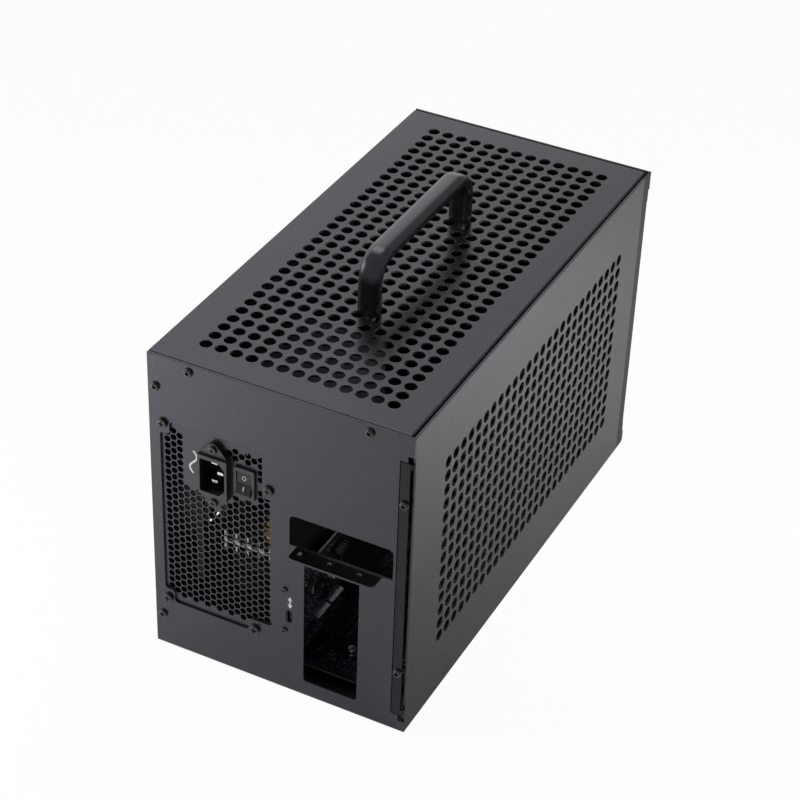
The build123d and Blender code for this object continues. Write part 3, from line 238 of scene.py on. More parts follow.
# Power supply board: one flat board on the pressed posts of the shell, for all of the supply's parts.
# Bare brown laminate with copper runs under a thin lacquer, sawn along its edges.
def laminate(name, face, shades, edge, gloss):
    """Lacquered board with square runs of copper in patches; its sawn edges show the bare cloth."""
    finish = Finish(name)
    start = finish.start
    bands_per_metre, band_level = 260.0, 0.86
    patch_detail, patch_level = 1.0, 0.56
    face_level = 0.5
    haze_per_metre, haze_gloss = 300.0, 0.1
    run_height, run_strength = 0.03 * mm, 0.6
    runs = []
    for way, patches_per_metre in (("X", 70.0), ("Y", 80.0), ("Z", 90.0)):
        settings = {"wave_type": "BANDS", "bands_direction": way, "wave_profile": "SIN"}
        sockets = {"Vector": finish.place, "Scale": bands_per_metre}
        bands = start.node("ShaderNodeTexWave", settings, sockets)
        patches = finish.noise(patches_per_metre, patch_detail)
        runs.append((bands > band_level) * (patches > patch_level))
    copper = start.math("MINIMUM", runs[0] + runs[1] + runs[2], 1.0)
    on_face = finish.absolute(finish.facing(face)) > face_level
    finish.feed("Base Color", finish.blend(on_face, edge, finish.blend(copper, *shades)))
    finish.feed("Roughness", gloss + finish.noise(haze_per_metre) * haze_gloss)
    finish.bump(copper, run_height, run_strength)
    return finish.material


brown_shades = ((0.20, 0.13, 0.05), (0.26, 0.18, 0.08))
brown_edge = (0.3, 0.22, 0.1)
dress(laminate("supply_laminate", "X", brown_shades, brown_edge, gloss=0.55), "psu_board")


# Heat sinks: two combs in the power supply, bare, and one on the controller chip, black anodised.
# Extruded aluminium, saw cut to length, with faint drawn streaks along the fins.
def extruded(name, shades, gloss, streak_gloss, **constants):
    """Extruded aluminium: streaks along Y in its shade, its gloss and its relief."""
    finish = Finish(name, **constants)
    across_per_metre, along_per_metre, detail = 1200.0, 40.0, 3.0
    streak_depth, streak_strength = 0.02 * mm, 0.4
    scale = (across_per_metre, along_per_metre, across_per_metre)
    drawn = finish.start.node("ShaderNodeMapping", {}, {"Vector": finish.place, "Scale": scale})
    streak = finish.noise(1.0, detail, drawn)
    finish.feed("Base Color", finish.blend(streak, *shades))
    finish.feed("Roughness", gloss + streak * streak_gloss)
    finish.bump(streak, streak_depth, streak_strength)
    return finish.material


bare_shades = ((0.55, 0.56, 0.57), (0.74, 0.75, 0.76))
aluminium = extruded("extruded_aluminium", bare_shades, gloss=0.28, streak_gloss=0.2, Metallic=1.0)
dress(aluminium, "psu_heatsink_lower", "psu_heatsink_upper")
black_shades = ((0.004, 0.004, 0.0045), (0.009, 0.009, 0.0095))
anodised = extruded("black_anodised", black_shades, gloss=0.34, streak_gloss=0.16, Specular_IOR_Level=0.4)
dress(anodised, "chip_heatsink")


# Capacitors of the power supply: two cans side by side near its face, soldered to the board.
# Each is an aluminium can in a shrunk black sleeve, which laps over the rim and leaves the top bare.
def piece(name, mesh, material, body):
    """Puts a finished bmesh in the scene, with its sharp edges kept, and lets it ride on a body."""
    sharp_degrees = 35.0
    data = bpy.data.meshes.new(name)
    bmesh.ops.recalc_face_normals(mesh, faces=mesh.faces)
    mesh.to_mesh(data)
    mesh.free()
    data.shade_smooth()
    data.set_sharp_from_angle(angle=math.radians(sharp_degrees))
    made = bpy.data.objects.new(name, data)
    bpy.context.scene.collection.objects.link(made)
    data.materials.append(material)
    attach(made, body)
    return made


def loft(mesh, rings, looped=False):
    """Skins a row of equal rings of points; a loop joins its last ring to its first."""
    rows = [[mesh.verts.new(point) for point in ring] for ring in rings]
    count = len(rows[0])
    for near, far in zip(rows, rows[1:] + rows[:1] if looped else rows[1:]):
        for i in range(count):
            mesh.faces.new((near[i], near[(i + 1) % count], far[(i + 1) % count], far[i]))
    if not looped:
        mesh.faces.new(list(reversed(rows[0])))
        mesh.faces.new(rows[-1])


def turns(count):
    """Equal steps round a full turn."""
    return [2 * math.pi * i / count for i in range(count)]


def turned(mesh, foot, axis, profile, steps=40):
    """Turns a profile of (rise, radius) points about an axis."""
    side = axis.orthogonal().normalized()
    other = axis.cross(side)
    ways = [side * math.cos(turn) + other * math.sin(turn) for turn in turns(steps)]
    loft(mesh, [[foot + axis * rise + way * radius for way in ways] for rise, radius in profile])


sleeve_shades = ((0.003, 0.003, 0.0033), (0.005, 0.005, 0.0055))
sleeve_vinyl = moulded(
    "sleeve_vinyl", sleeve_shades, gloss=0.36, grain_per_metre=300.0, depth=0.02 * mm, shine=0.25
)
sleeve_lap = 0.83
sleeve_edge = 0.5 * mm
sleeve_round = 0.4 * sleeve_edge
crimp_rise = 3.6 * mm
crimp_half = 0.6 * mm
crimp_share = 0.955
top_sink = 0.6 * sleeve_edge
bead_share, dish_share = 0.92, 0.86
for capacitor in ("psu_capacitor_lower", "psu_capacitor_upper"):
    can_low, can_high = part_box(capacitor)
    can_radius = (can_high.y - can_low.y) / 2
    can_height = can_high.x - can_low.x
    can_foot = Vector((can_high.x, (can_low.y + can_high.y) / 2, (can_low.z + can_high.z) / 2))
    can_axis = Vector((-1, 0, 0))
    sleeve_profile = [
        (0.0, can_radius - sleeve_edge),
        (sleeve_edge, can_radius),
        (crimp_rise - crimp_half, can_radius),
        (crimp_rise, can_radius * crimp_share),
        (crimp_rise + crimp_half, can_radius),
        (can_height - 2 * sleeve_edge, can_radius),
        (can_height - sleeve_round, can_radius - sleeve_round),
        (can_height, can_radius - 3 * sleeve_round),
        (can_height, can_radius * sleeve_lap),
        (can_height - sleeve_edge, can_radius * sleeve_lap),
    ]
    sleeve_mesh = bmesh.new()
    turned(sleeve_mesh, can_foot, can_axis, sleeve_profile)
    sleeve = piece(f"{capacitor}_sleeve", sleeve_mesh, sleeve_vinyl, "case")
    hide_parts(capacitor)
    top_radius = can_radius * sleeve_lap
    top_profile = [
        (can_height - 2 * sleeve_edge, top_radius),
        (can_height - top_sink, top_radius),
        (can_height - sleeve_round, top_radius * bead_share),
        (can_height - top_sink, top_radius * dish_share),
    ]
    top_mesh = bmesh.new()
    turned(top_mesh, can_foot, can_axis, top_profile)
    piece(f"{capacitor}_top", top_mesh, aluminium, "case")


# Choke of the power supply: a ring core lying flat on its board, wound all round.
# The core is painted iron powder and the winding is one layer of enamelled copper wire.
choke_low, choke_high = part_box("psu_choke")
choke_middle = (choke_low + choke_high) / 2
choke_section = (choke_high.x - choke_low.x) / 2
choke_ring = (choke_high.z - choke_low.z) / 2 - choke_section
wire_radius = 0.8 * mm
wire_turns = 25
wire_steps = 18
wire_sides = 8
wire_ahead = 0.01


def on_ring(around, across, section):
    """A point on the choke's ring, and the way out of the ring's section there."""
    radial = Vector((0, math.cos(around), math.sin(around)))
    out = radial * math.cos(across) + Vector((1, 0, 0)) * math.sin(across)
    return choke_middle + radial * choke_ring + out * section, out


wire_rings = []
wire_count = wire_turns * wire_steps
for i in range(wire_count):
    around, ahead = (2 * math.pi * (i + k) / wire_count for k in (0.0, wire_ahead))
    point, out = on_ring(around, around * wire_turns, choke_section - wire_radius)
    along = (on_ring(ahead, ahead * wire_turns, choke_section - wire_radius)[0] - point).normalized()
    over = along.cross(out)
    ways = [out * math.cos(turn) + over * math.sin(turn) for turn in turns(wire_sides)]
    wire_rings.append([point + way * wire_radius for way in ways])
wire_mesh = bmesh.new()
loft(wire_mesh, wire_rings, looped=True)


def drifting(name, shades, gloss, drift_gloss, per_metre, **constants):
    """A smooth finish, plated or printed, whose shade and gloss drift together."""
    finish = Finish(name, **constants)
    drift = finish.noise(per_metre)
    finish.feed("Base Color", finish.blend(drift, *shades))
    finish.feed("Roughness", gloss + drift * drift_gloss)
    return finish.material


enamel_shades = ((0.70, 0.44, 0.12), (0.86, 0.60, 0.22))
enamel_coat = {"Metallic": 1.0, "Coat_Weight": 0.6}
enamel = drifting(
    "enamelled_copper", enamel_shades, gloss=0.22, drift_gloss=0.12, per_metre=500.0, **enamel_coat
)
winding = piece("choke_wire", wire_mesh, enamel, "case")
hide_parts("psu_choke")

core_steps = 48
core_sides = 16
core_section = choke_section - 2 * wire_radius
core_mesh = bmesh.new()
core_rings = []
for around in turns(core_steps):
    core_rings.append([on_ring(around, turn, core_section)[0] for turn in turns(core_sides)])
loft(core_mesh, core_rings, looped=True)
core_shades = ((0.40, 0.33, 0.06), (0.48, 0.40, 0.09))
core_paint = moulded("core_paint", core_shades, gloss=0.45, grain_per_metre=700.0, depth=0.03 * mm)
piece("choke_core", core_mesh, core_paint, "case")


# Transformer of the power supply: a ferrite frame round a wound bobbin, glued and soldered down.
# Sintered ferrite, dark and matt; the winding is wrapped in yellow polyester tape.
def oval(count, roundness):
    """Points of a unit superellipse."""
    power = 2 / roundness
    for turn in turns(count):
        c, s = math.cos(turn), math.sin(turn)
        yield math.copysign(abs(c) ** power, c), math.copysign(abs(s) ** power, s)


ferrite_shades = ((0.020, 0.020, 0.022), (0.040, 0.040, 0.043))
ferrite = moulded("ferrite", ferrite_shades, gloss=0.5, grain_per_metre=900.0, depth=0.05 * mm)
dress(ferrite, "psu_transformer")

core_low, core_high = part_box("psu_transformer")
tape_proud = 0.3 * mm
tape_half_y = (core_high.y - core_low.y) / 2 + tape_proud
tape_half_z = 10.3 * mm
tape_start, tape_end = core_high.x - 3.0 * mm, core_low.x + 4.0 * mm
tape_laps = 12
tape_edge = 0.08 * mm
tape_ring, tape_roundness = 40, 5.0
tape_rings = []
for lap in range(2 * tape_laps):
    x = tape_start + (tape_end - tape_start) * lap / (2 * tape_laps - 1)
    pulled = tape_edge * (lap % 2)
    middle = Vector((x, (core_low.y + core_high.y) / 2, (core_low.z + core_high.z) / 2))
    reach_y, reach_z = tape_half_y - pulled, tape_half_z - pulled
    outline = oval(tape_ring, tape_roundness)
    tape_rings.append([middle + Vector((0, a * reach_y, b * reach_z)) for a, b in outline])
tape_mesh = bmesh.new()
loft(tape_mesh, tape_rings)
tape_shades = ((0.62, 0.44, 0.05), (0.70, 0.52, 0.08))
tape_film = moulded("tape_film", tape_shades, gloss=0.28, grain_per_metre=400.0, depth=0.02 * mm)
piece("transformer_tape", tape_mesh, tape_film, "case")


# Fan of the power supply: a frame with four struts and a seven-bladed rotor on its shaft.
# Glass-filled black plastic, screwed behind the ring grille of the cover.
fan_shades = ((0.010, 0.010, 0.011), (0.018, 0.018, 0.019))
fan_plastic = moulded("fan_plastic", fan_shades, gloss=0.42, grain_per_metre=1600.0, depth=0.03 * mm)
dress(fan_plastic, "psu_fan_frame", "psu_fan_rotor")


# Mains inlet: flange, rim and keyed socket in one moulding, screwed to the power supply's face.
# Glass-filled black nylon with a spark-eroded grain; its three blades are nickel-plated brass.
inlet_shades = ((0.0055, 0.0055, 0.006), (0.009, 0.009, 0.0098))
inlet_nylon = moulded(
    "inlet_nylon", inlet_shades, gloss=0.34, grain_per_metre=2600.0, depth=0.03 * mm, shine=0.9
)
dress(inlet_nylon, "power_inlet", "switch_bezel")
nickel_shades = ((0.62, 0.61, 0.58), (0.80, 0.79, 0.76))
nickel = drifting("nickel_plate", nickel_shades, gloss=0.18, drift_gloss=0.14, per_metre=900.0, Metallic=1.0)
dress(nickel, "inlet_pins", "port_bracket")


# Rocker switch: a dished key that tilts on two stub pins in a snap-in bezel beside the inlet.
# Smooth black nylon; the ring and the bar that mean off and on are pad printed in white.
def prism(mesh, corners, rise, draft=0.0):
    """A flat shape raised off its surface; the draft draws its top in towards the middle."""
    middle = sum(corners, Vector()) / len(corners)
    low = [mesh.verts.new(corner) for corner in corners]
    high = [mesh.verts.new(corner.lerp(middle, draft) + rise) for corner in corners]
    mesh.faces.new(list(reversed(low)))
    mesh.faces.new(high)
    for i in range(len(corners)):
        after = (i + 1) % len(corners)
        mesh.faces.new((low[i], low[after], high[after], high[i]))


def slab(mesh, middle, width, height, rise, draft=0.0):
    """A block on a surface: its width, height and rise are vectors."""
    signs = ((-0.5, -0.5), (0.5, -0.5), (0.5, 0.5), (-0.5, 0.5))
    prism(mesh, [middle + width * a + height * b for a, b in signs], rise, draft)


rocker_shades = ((0.007, 0.007, 0.0078), (0.011, 0.011, 0.012))
rocker_nylon = moulded("rocker_nylon", rocker_shades, gloss=0.30, grain_per_metre=1800.0, depth=0.02 * mm)
dress(rocker_nylon, "switch_rocker")
print_shades = ((0.62, 0.62, 0.62), (0.74, 0.74, 0.74))
white_print = drifting("white_print", print_shades, gloss=0.45, drift_gloss=0.1, per_metre=2500.0)

joints = {joint["name"]: joint for joint in frame["joints"]}
rocker_pivot = Vector(joints["rocker_tilt"]["pos_m"])
rocker_rest = -10.0
rocker_turn = Matrix.Rotation(math.radians(rocker_rest), 4, "X")
rocker_crown = 2.7 * mm
rocker_valley = 1.6 * mm
rocker_half = 7.4 * mm
print_lift = 0.06 * mm
print_clear = 0.2
ring_outer, ring_inner = 1.5 * mm, 1.1 * mm
ring_steps = 32
bar_width, bar_height = 0.5 * mm, 3.0 * mm

rocker_marks = bmesh.new()
across = Vector((1, 0, 0))
for side in (1, -1):
    root = Vector((0, -rocker_valley, 0))
    end = Vector((0, -rocker_crown, side * rocker_half))
    along = (rocker_turn @ (end - root)).normalized() * side
    rise = across.cross(along) * print_lift
    middle = rocker_pivot + rocker_turn @ (root + (end - root) * 0.5) + rise * print_clear
    if side > 0:
        ring = []
        for turn in turns(ring_steps):
            way = across * math.cos(turn) + along * math.sin(turn)
            inner, outer = middle + way * ring_inner, middle + way * ring_outer
            ring.append([inner, outer, outer + rise, inner + rise])
        loft(rocker_marks, ring, looped=True)
    else:
        slab(rocker_marks, middle, across * bar_width, along * bar_height, rise)
piece("rocker_marks", rocker_marks, white_print, "rocker")


# Printed signs: a plain wave beside the inlet, for alternating current, and a plain double arrow
# over the data port. Screen printed in white on the coat.
sign_clear = 0.01 * mm
sign_rise = Vector((0, -print_lift, 0))
wave_x, wave_z = -60.0 * mm, 160.0 * mm
wave_middle = Vector((wave_x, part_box("psu_case")[0].y - sign_clear, wave_z))
wave_length = 17.0 * mm
wave_swing = 2.6 * mm
wave_line = 1.2 * mm
wave_steps = 48
wave_rings = []
for i in range(wave_steps + 1):
    share = i / wave_steps
    turn = 2 * math.pi * share
    point = wave_middle + Vector((wave_swing * math.sin(turn), 0, wave_length * (0.5 - share)))
    slope = Vector((wave_swing * 2 * math.pi * math.cos(turn), 0, -wave_length)).normalized()
    aside = Vector((-slope.z, 0, slope.x)) * (wave_line / 2)
    wave_rings.append([point - aside, point + aside, point + aside + sign_rise, point - aside + sign_rise])
wave_mesh = bmesh.new()
loft(wave_mesh, wave_rings)
piece("wave_sign", wave_mesh, white_print, "case")

arrow_x, arrow_z = 8.9 * mm, 77.2 * mm
arrow_middle = Vector((arrow_x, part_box("right_panel")[0].y - sign_clear, arrow_z))
arrow_half = 4.6 * mm
arrow_head, arrow_head_half = 2.9 * mm, 1.7 * mm
arrow_line = 0.9 * mm
arrow_mesh = bmesh.new()
shaft = (arrow_half - arrow_head) * 2
slab(arrow_mesh, arrow_middle, Vector((arrow_line, 0, 0)), Vector((0, 0, shaft)), sign_rise)
for side in (1, -1):
    tip = arrow_middle + Vector((0, 0, side * arrow_half))
    foot = arrow_middle + Vector((0, 0, side * (arrow_half - arrow_head)))
    wing = Vector((arrow_head_half, 0, 0))
    prism(arrow_mesh, [tip, foot + wing, foot - wing], sign_rise)
piece("arrow_sign", arrow_mesh, white_print, "case")


# Card board: lies over the floor on brass standoffs and carries the card's slot, its latch, the
# controller under its heat sink, and the sockets for the power lead and for the port board.
# Glass-cloth laminate under blue-black lacquer, with moulded nylon sockets soldered through it.
board_shades = ((0.0035, 0.0052, 0.0100), (0.016, 0.028, 0.055))
# The sawn edge is pale glass cloth, its colour raised further as a painted highlight for light catching the
# front edge.
board_edge_painted_highlight = (0.72, 0.71, 0.66)
board_gloss = 0.34
dress(laminate("card_laminate", "Z", board_shades, board_edge_painted_highlight, board_gloss), "card_board")
socket_shades = ((0.0055, 0.0055, 0.006), (0.010, 0.010, 0.011))
socket_nylon = moulded("socket_nylon", socket_shades, gloss=0.45, grain_per_metre=2200.0, depth=0.03 * mm)
dress(socket_nylon, "card_slot", "slot_latch", "power_socket", "link_socket", "controller_chip")
brass_shades = ((0.60, 0.42, 0.16), (0.78, 0.60, 0.28))
brass = drifting("turned_brass", brass_shades, gloss=0.25, drift_gloss=0.15, per_metre=1400.0, Metallic=1.0)
dress(brass, "board_standoffs", "port_spacers")
gold_shades = ((0.80, 0.58, 0.22), (0.92, 0.72, 0.36))
gold = drifting("contact_gold", gold_shades, gloss=0.16, drift_gloss=0.12, per_metre=1500.0, Metallic=1.0)

slot_low, slot_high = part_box("card_slot")
slot_x = (slot_low.x + slot_high.x) / 2
contact_pitch = 1.0 * mm
contact_width, contact_depth, contact_lift = 0.55 * mm, 6.0 * mm, 0.22 * mm
contact_sink = 1.0 * mm
contact_draft = 0.2
groove_half = 0.95 * mm
groove_runs = ((1.6 * mm, 13.2 * mm), (15.2 * mm, 87.4 * mm))
slot_contacts = bmesh.new()
for run_start, run_end in groove_runs:
    for i in range(int((run_end - run_start) / contact_pitch)):
        y = slot_low.y + run_start + (i + 0.5) * contact_pitch
        z = slot_high.z - contact_sink - contact_depth / 2
        for side in (-1, 1):
            foot = Vector((slot_x + side * groove_half, y, z))
            width, height = Vector((0, contact_width, 0)), Vector((0, 0, contact_depth))
            slab(slot_contacts, foot, width, height, Vector((-side * contact_lift, 0, 0)), contact_draft)
piece("slot_contacts", slot_contacts, gold, "case")


# Small parts soldered to the card board: chip resistors and capacitors with tinned ends, leaded
# packages, shielded coils, electrolytic cans and a row of header pins. Ceramic, black epoxy,
# aluminium and tinned copper. Their places and sizes are in millimetres in the board's plane.
def stud(mesh, u, v, width, height, lift, start=0.0, draft=0.0):
    """A block on a board: its middle, its size and how far it stands off the board."""
    middle = Vector((u, v, start)) * mm
    sides = (Vector((width, 0, 0)) * mm, Vector((0, height, 0)) * mm)
    slab(mesh, middle, *sides, Vector((0, 0, lift)) * mm, draft)


def scatter(bodies, ends, zone, keep_out, share, seed):
    """Chip resistors and capacitors on a loose grid, lying either way, clear of the larger parts."""
    pitch, clear, stray = 2.6, 1.3, 0.15
    chip_lengths = (1.0, 1.6, 1.6, 2.0)
    chip_width, chip_lift, chip_end, end_lift = 0.52, 0.45, 0.22, 1.04
    left, low, right, high = zone
    dice = random.Random(seed)
    for i in range(int((right - left) / pitch)):
        for k in range(int((high - low) / pitch)):
            u = left + (i + 0.5 + dice.uniform(-stray, stray)) * pitch
            v = low + (k + 0.5 + dice.uniform(-stray, stray)) * pitch
            length = dice.choice(chip_lengths)
            upright = dice.random() < 0.5
            taken = any(abs(u - a) < w / 2 + clear and abs(v - b) < h / 2 + clear for a, b, w, h in keep_out)
            if taken or dice.random() > share:
                continue
            width, lift, end = length * chip_width, length * chip_lift, length * chip_end
            core = length - 2 * end
            stud(bodies, u, v, *((width, core) if upright else (core, width)), lift)
            for side in (-1, 1):
                out = side * (length - end) / 2
                place = (u, v + out) if upright else (u + out, v)
                stud(ends, *place, *((width, end) if upright else (end, width)), lift * end_lift)


def package(bodies, leads, u, v, side, count):
    """A square leaded package: a drafted body over two-step leads on all four sides."""
    body_lift, body_start, body_draft = 1.2, 0.1, 0.05
    leaded_share, lead_share = 0.86, 0.5
    foot_out, foot_length, foot_lift = 0.65, 0.7, 0.15
    step_out, step_length, step_lift = 0.2, 0.4, 0.65
    stud(bodies, u, v, side, side, body_lift, start=body_start, draft=body_draft)
    lead_pitch = side * leaded_share / count
    lead_width = lead_pitch * lead_share
    for i in range(count):
        run = (i - (count - 1) / 2) * lead_pitch
        for out in (-1, 1):
            foot, step = out * (side / 2 + foot_out), out * (side / 2 + step_out)
            stud(leads, u + run, v + foot, lead_width, foot_length, foot_lift)
            stud(leads, u + run, v + step, lead_width, step_length, step_lift)
            stud(leads, u + foot, v + run, foot_length, lead_width, foot_lift)
            stud(leads, u + step, v + run, step_length, lead_width, step_lift)


def can(cans, bases, u, v, diameter, height):
    """A surface-mount electrolytic: a crimped aluminium can on a square nylon base."""
    base_share, base_lift = 1.05, 0.9
    radius = diameter / 2
    wall, crimp, rim, dish = (radius * share for share in (0.97, 0.91, 0.86, 0.78))
    crimp_low, crimp_middle, crimp_high = 1.7, 2.0, 2.3
    rim_round, dish_sink = 0.4, 0.1
    stud(bases, u, v, diameter * base_share, diameter * base_share, base_lift)
    profile = [
        (base_lift, wall),
        (crimp_low, wall),
        (crimp_middle, crimp),
        (crimp_high, wall),
        (height - rim_round, wall),
        (height, rim),
        (height - dish_sink, dish),
    ]
    foot = Vector((u, v, 0)) * mm
    turned(cans, foot, Vector((0, 0, 1)), [(rise * mm, r * mm) for rise, r in profile], steps=28)


epoxy_shades = ((0.005, 0.005, 0.0055), (0.009, 0.009, 0.010))
epoxy = moulded("epoxy", epoxy_shades, gloss=0.42, grain_per_metre=1500.0, depth=0.02 * mm)
ceramic = Finish("chip_ceramic")
ceramic_shades = ((0.012, 0.012, 0.014), (0.09, 0.065, 0.045))
ceramic_lots, ceramic_level = 330.0, 0.48
ceramic_grain, ceramic_gloss, ceramic_grain_gloss = 1800.0, 0.32, 0.2
ceramic_pick = ceramic.noise(ceramic_lots, 0.0) > ceramic_level
ceramic.feed("Base Color", ceramic.blend(ceramic_pick, *ceramic_shades))
ceramic.feed("Roughness", ceramic_gloss + ceramic.noise(ceramic_grain) * ceramic_grain_gloss)
tin_shades = ((0.62, 0.63, 0.65), (0.82, 0.83, 0.85))
tin = drifting("solder_tin", tin_shades, gloss=0.20, drift_gloss=0.18, per_metre=1300.0, Metallic=1.0)


def populate(board, plane, scatter_zones, keep_out, packages, coils, cans, share, seed, extras):
    """Makes the four pieces of small parts of one board and lets them ride on the case."""
    lead_room = 2.4
    coil_draft = 0.04
    pad_length, pad_width, pad_lift = 1.06, 0.4, 0.3
    meshes = {name: bmesh.new() for name in ("packages", "chips", "tin", "cans")}
    larger = list(keep_out.values())
    for u, v, side, count in packages:
        package(meshes["packages"], meshes["tin"], u, v, side, count)
        larger.append((u, v, side + lead_room, side + lead_room))
    for u, v, side, height in coils:
        stud(meshes["packages"], u, v, side, side, height, draft=coil_draft)
        stud(meshes["tin"], u, v, side * pad_length, side * pad_width, pad_lift)
        larger.append((u, v, side, side))
    for u, v, diameter, height in cans:
        can(meshes["cans"], meshes["packages"], u, v, diameter, height)
        larger.append((u, v, diameter, diameter))
    extras(meshes)
    for number, zone in enumerate(scatter_zones):
        scatter(meshes["chips"], meshes["tin"], zone, larger, share, seed + number)
    looks = {
        "packages": (epoxy, "chip_body"),
        "chips": (ceramic.material, "chip_body"),
        "tin": (tin, "bright_contact"),
        "cans": (aluminium, "sink_aluminium"),
    }
    for name, mesh in meshes.items():
        mesh.transform(plane)
        piece(f"{board}_{name}", mesh, looks[name][0], "case")


header_x = 12.8
header_first = -143.0
header_pins = 11
header_pitch = 2.54
strip_width, strip_lift = 2.5, 2.5
pin_side, pin_lift, pin_taper = 0.64, 6.2, 0.2


def header(meshes):
    """A single row of square header pins in a nylon strip."""
    length = header_pins * header_pitch
    middle = header_first + (length - header_pitch) / 2
    stud(meshes["packages"], header_x, middle, strip_width, length, strip_lift)
    for i in range(header_pins):
        v = header_first + i * header_pitch
        stud(meshes["tin"], header_x, v, pin_side, pin_side, pin_lift, draft=pin_taper)


card_keep_out = {
    "slot": (22.5, -80.0, 9.0, 101.0),
    "controller": (52.0, -75.5, 35.0, 35.0),
    "power_socket": (52.0, -4.5, 12.0, 21.0),
    "link_socket": (5.85, -112.5, 7.4, 32.0),
    "header": (header_x, -130.3, 3.0, 30.0),
    "rear_left_screw": (8.5, -135.5, 7.0, 7.0),
    "rear_right_screw": (66.5, -135.5, 7.0, 7.0),
    "front_left_screw": (8.5, 2.5, 7.0, 7.0),
    "front_right_screw": (66.5, 2.5, 7.0, 7.0),
}
card_zones = ((4.0, -150.0, 70.0, -94.0), (29.0, -94.0, 70.0, 6.0), (4.0, -94.0, 17.0, 6.0))
card_packages = ((40.0, -112.0, 7.0, 12), (61.0, -116.0, 5.0, 8), (12.0, -60.0, 5.0, 8))
supply_coils = ((36.0, -42.0, 7.0, 4.0), (45.0, -42.0, 7.0, 4.0), (61.0, -42.0, 7.0, 4.0))
link_coil = (50.0, -128.0, 5.0, 3.0)
low_cans = ((31.0, -130.5, 6.3, 5.8), (38.5, -128.0, 6.3, 5.8))
tall_cans = ((38.0, -28.0, 8.0, 10.0), (66.0, -28.0, 8.0, 10.0))
populate(
    "card_board",
    Matrix.Translation((0, 0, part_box("card_board")[1].z)),
    scatter_zones=card_zones,
    keep_out=card_keep_out,
    packages=card_packages,
    coils=(*supply_coils, link_coil),
    cans=(*low_cans, *tall_cans),
    share=0.42,
    seed=11,
    extras=header,
)


# Port board: stands on edge beside the power supply, on a nickel-plated bracket and brass spacers,
# and plugs into the card board. It carries the data port, two shielded sockets and many small parts.
# The same blue-black laminate as the card board.
dress(laminate("port_laminate", "X", board_shades, board_edge_painted_highlight, board_gloss), "port_board")

shield_height = 36.0
shield_spans = ((-137.0, -121.0), (-118.6, -102.6))
shield_width, shield_lift, shield_slope = 4.4, 2.8, 0.9
mouth_up, mouth_inset, mouth_width = 1.3, 1.6, 1.5
mouth_lift, mouth_sink = 0.3, 0.2
leg_pitch, leg_down = 1.0, 2.9
leg_width, leg_length, leg_lift = 0.4, 1.2, 0.5
block_start, block_height = -114.0, 75.5
block_rows, block_columns = 2, 5


def shields(meshes):
    """Two shielded sockets end to end, tinned and open at their faces, and a double row of pins."""
    low, high = shield_height - shield_width / 2, shield_height + shield_width / 2
    section = ((low, 0.0), (low, shield_lift), (high - shield_slope, shield_lift), (high, 0.0))
    for start, end in shield_spans:
        middle, length = (start + end) / 2, end - start
        loft(meshes["tin"], [[Vector((u, v, lift)) * mm for v, lift in section] for u in (start, end)])
        mouth = (length - mouth_inset, mouth_width, mouth_lift)
        stud(meshes["packages"], middle, low + mouth_up, *mouth, start=shield_lift - mouth_sink)
        for i in range(int(length / leg_pitch) - 1):
            u = start + leg_pitch + i * leg_pitch
            stud(meshes["tin"], u, shield_height - leg_down, leg_width, leg_length, leg_lift)
    for row in range(block_rows):
        v = block_height + row * header_pitch
        middle = block_start + (block_columns - 1) / 2 * header_pitch
        stud(meshes["packages"], middle, v, block_columns * header_pitch, strip_width, strip_lift)
        for i in range(block_columns):
            u = block_start + i * header_pitch
            stud(meshes["tin"], u, v, pin_side, pin_side, pin_lift, draft=pin_taper)


port_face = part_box("port_board")[1].x
port_plane = Matrix(((0, 0, 1, port_face), (1, 0, 0, 0), (0, 1, 0, 0), (0, 0, 0, 1)))
port_keep_out = {
    "data_port": (-168.5, 65.8, 12.0, 14.0),
    "lower_spacer": (-153.5, 56.8, 5.0, 5.0),
    "upper_spacer": (-153.5, 82.8, 5.0, 5.0),
    "shields": (-119.8, shield_height, 36.0, 8.0),
    "link_socket": (-112.5, 16.0, 34.0, 12.0),
    "pin_block": (-109.0, 76.8, 14.0, 6.5),
}
port_zones = ((-163.0, 39.0, -96.0, 85.5), (-163.0, 22.0, -96.0, 29.0))
large_packages = ((-136.0, 62.0, 7.0, 12), (-146.0, 74.0, 5.0, 8))
small_packages = ((-125.0, 74.0, 6.0, 10), (-103.0, 56.0, 5.0, 8))
populate(
    "port_board",
    port_plane,
    scatter_zones=port_zones,
    keep_out=port_keep_out,
    packages=(*large_packages, *small_packages),
    coils=((-126.0, 50.0, 5.0, 3.0), (-110.0, 66.0, 5.0, 3.0)),
    cans=((-119.0, 60.5, 5.0, 5.4),),
    share=0.72,
    seed=29,
    extras=shields,
)


# Data port: a drawn steel shell round a moulded tongue, soldered to the upright board.
# The shell is plated black nickel; the tongue carries gold contacts on both faces.
shell_shades = ((0.045, 0.045, 0.048), (0.075, 0.075, 0.078))
shell_plate = drifting(
    "black_nickel", shell_shades, gloss=0.26, drift_gloss=0.14, per_metre=900.0, Metallic=1.0
)
dress(shell_plate, "data_port_shell")
tongue_shades = ((0.008, 0.008, 0.009), (0.014, 0.014, 0.015))
tongue_plastic = moulded(
    "tongue_plastic", tongue_shades, gloss=0.38, grain_per_metre=2000.0, depth=0.02 * mm
)
dress(tongue_plastic, "data_port_tongue")

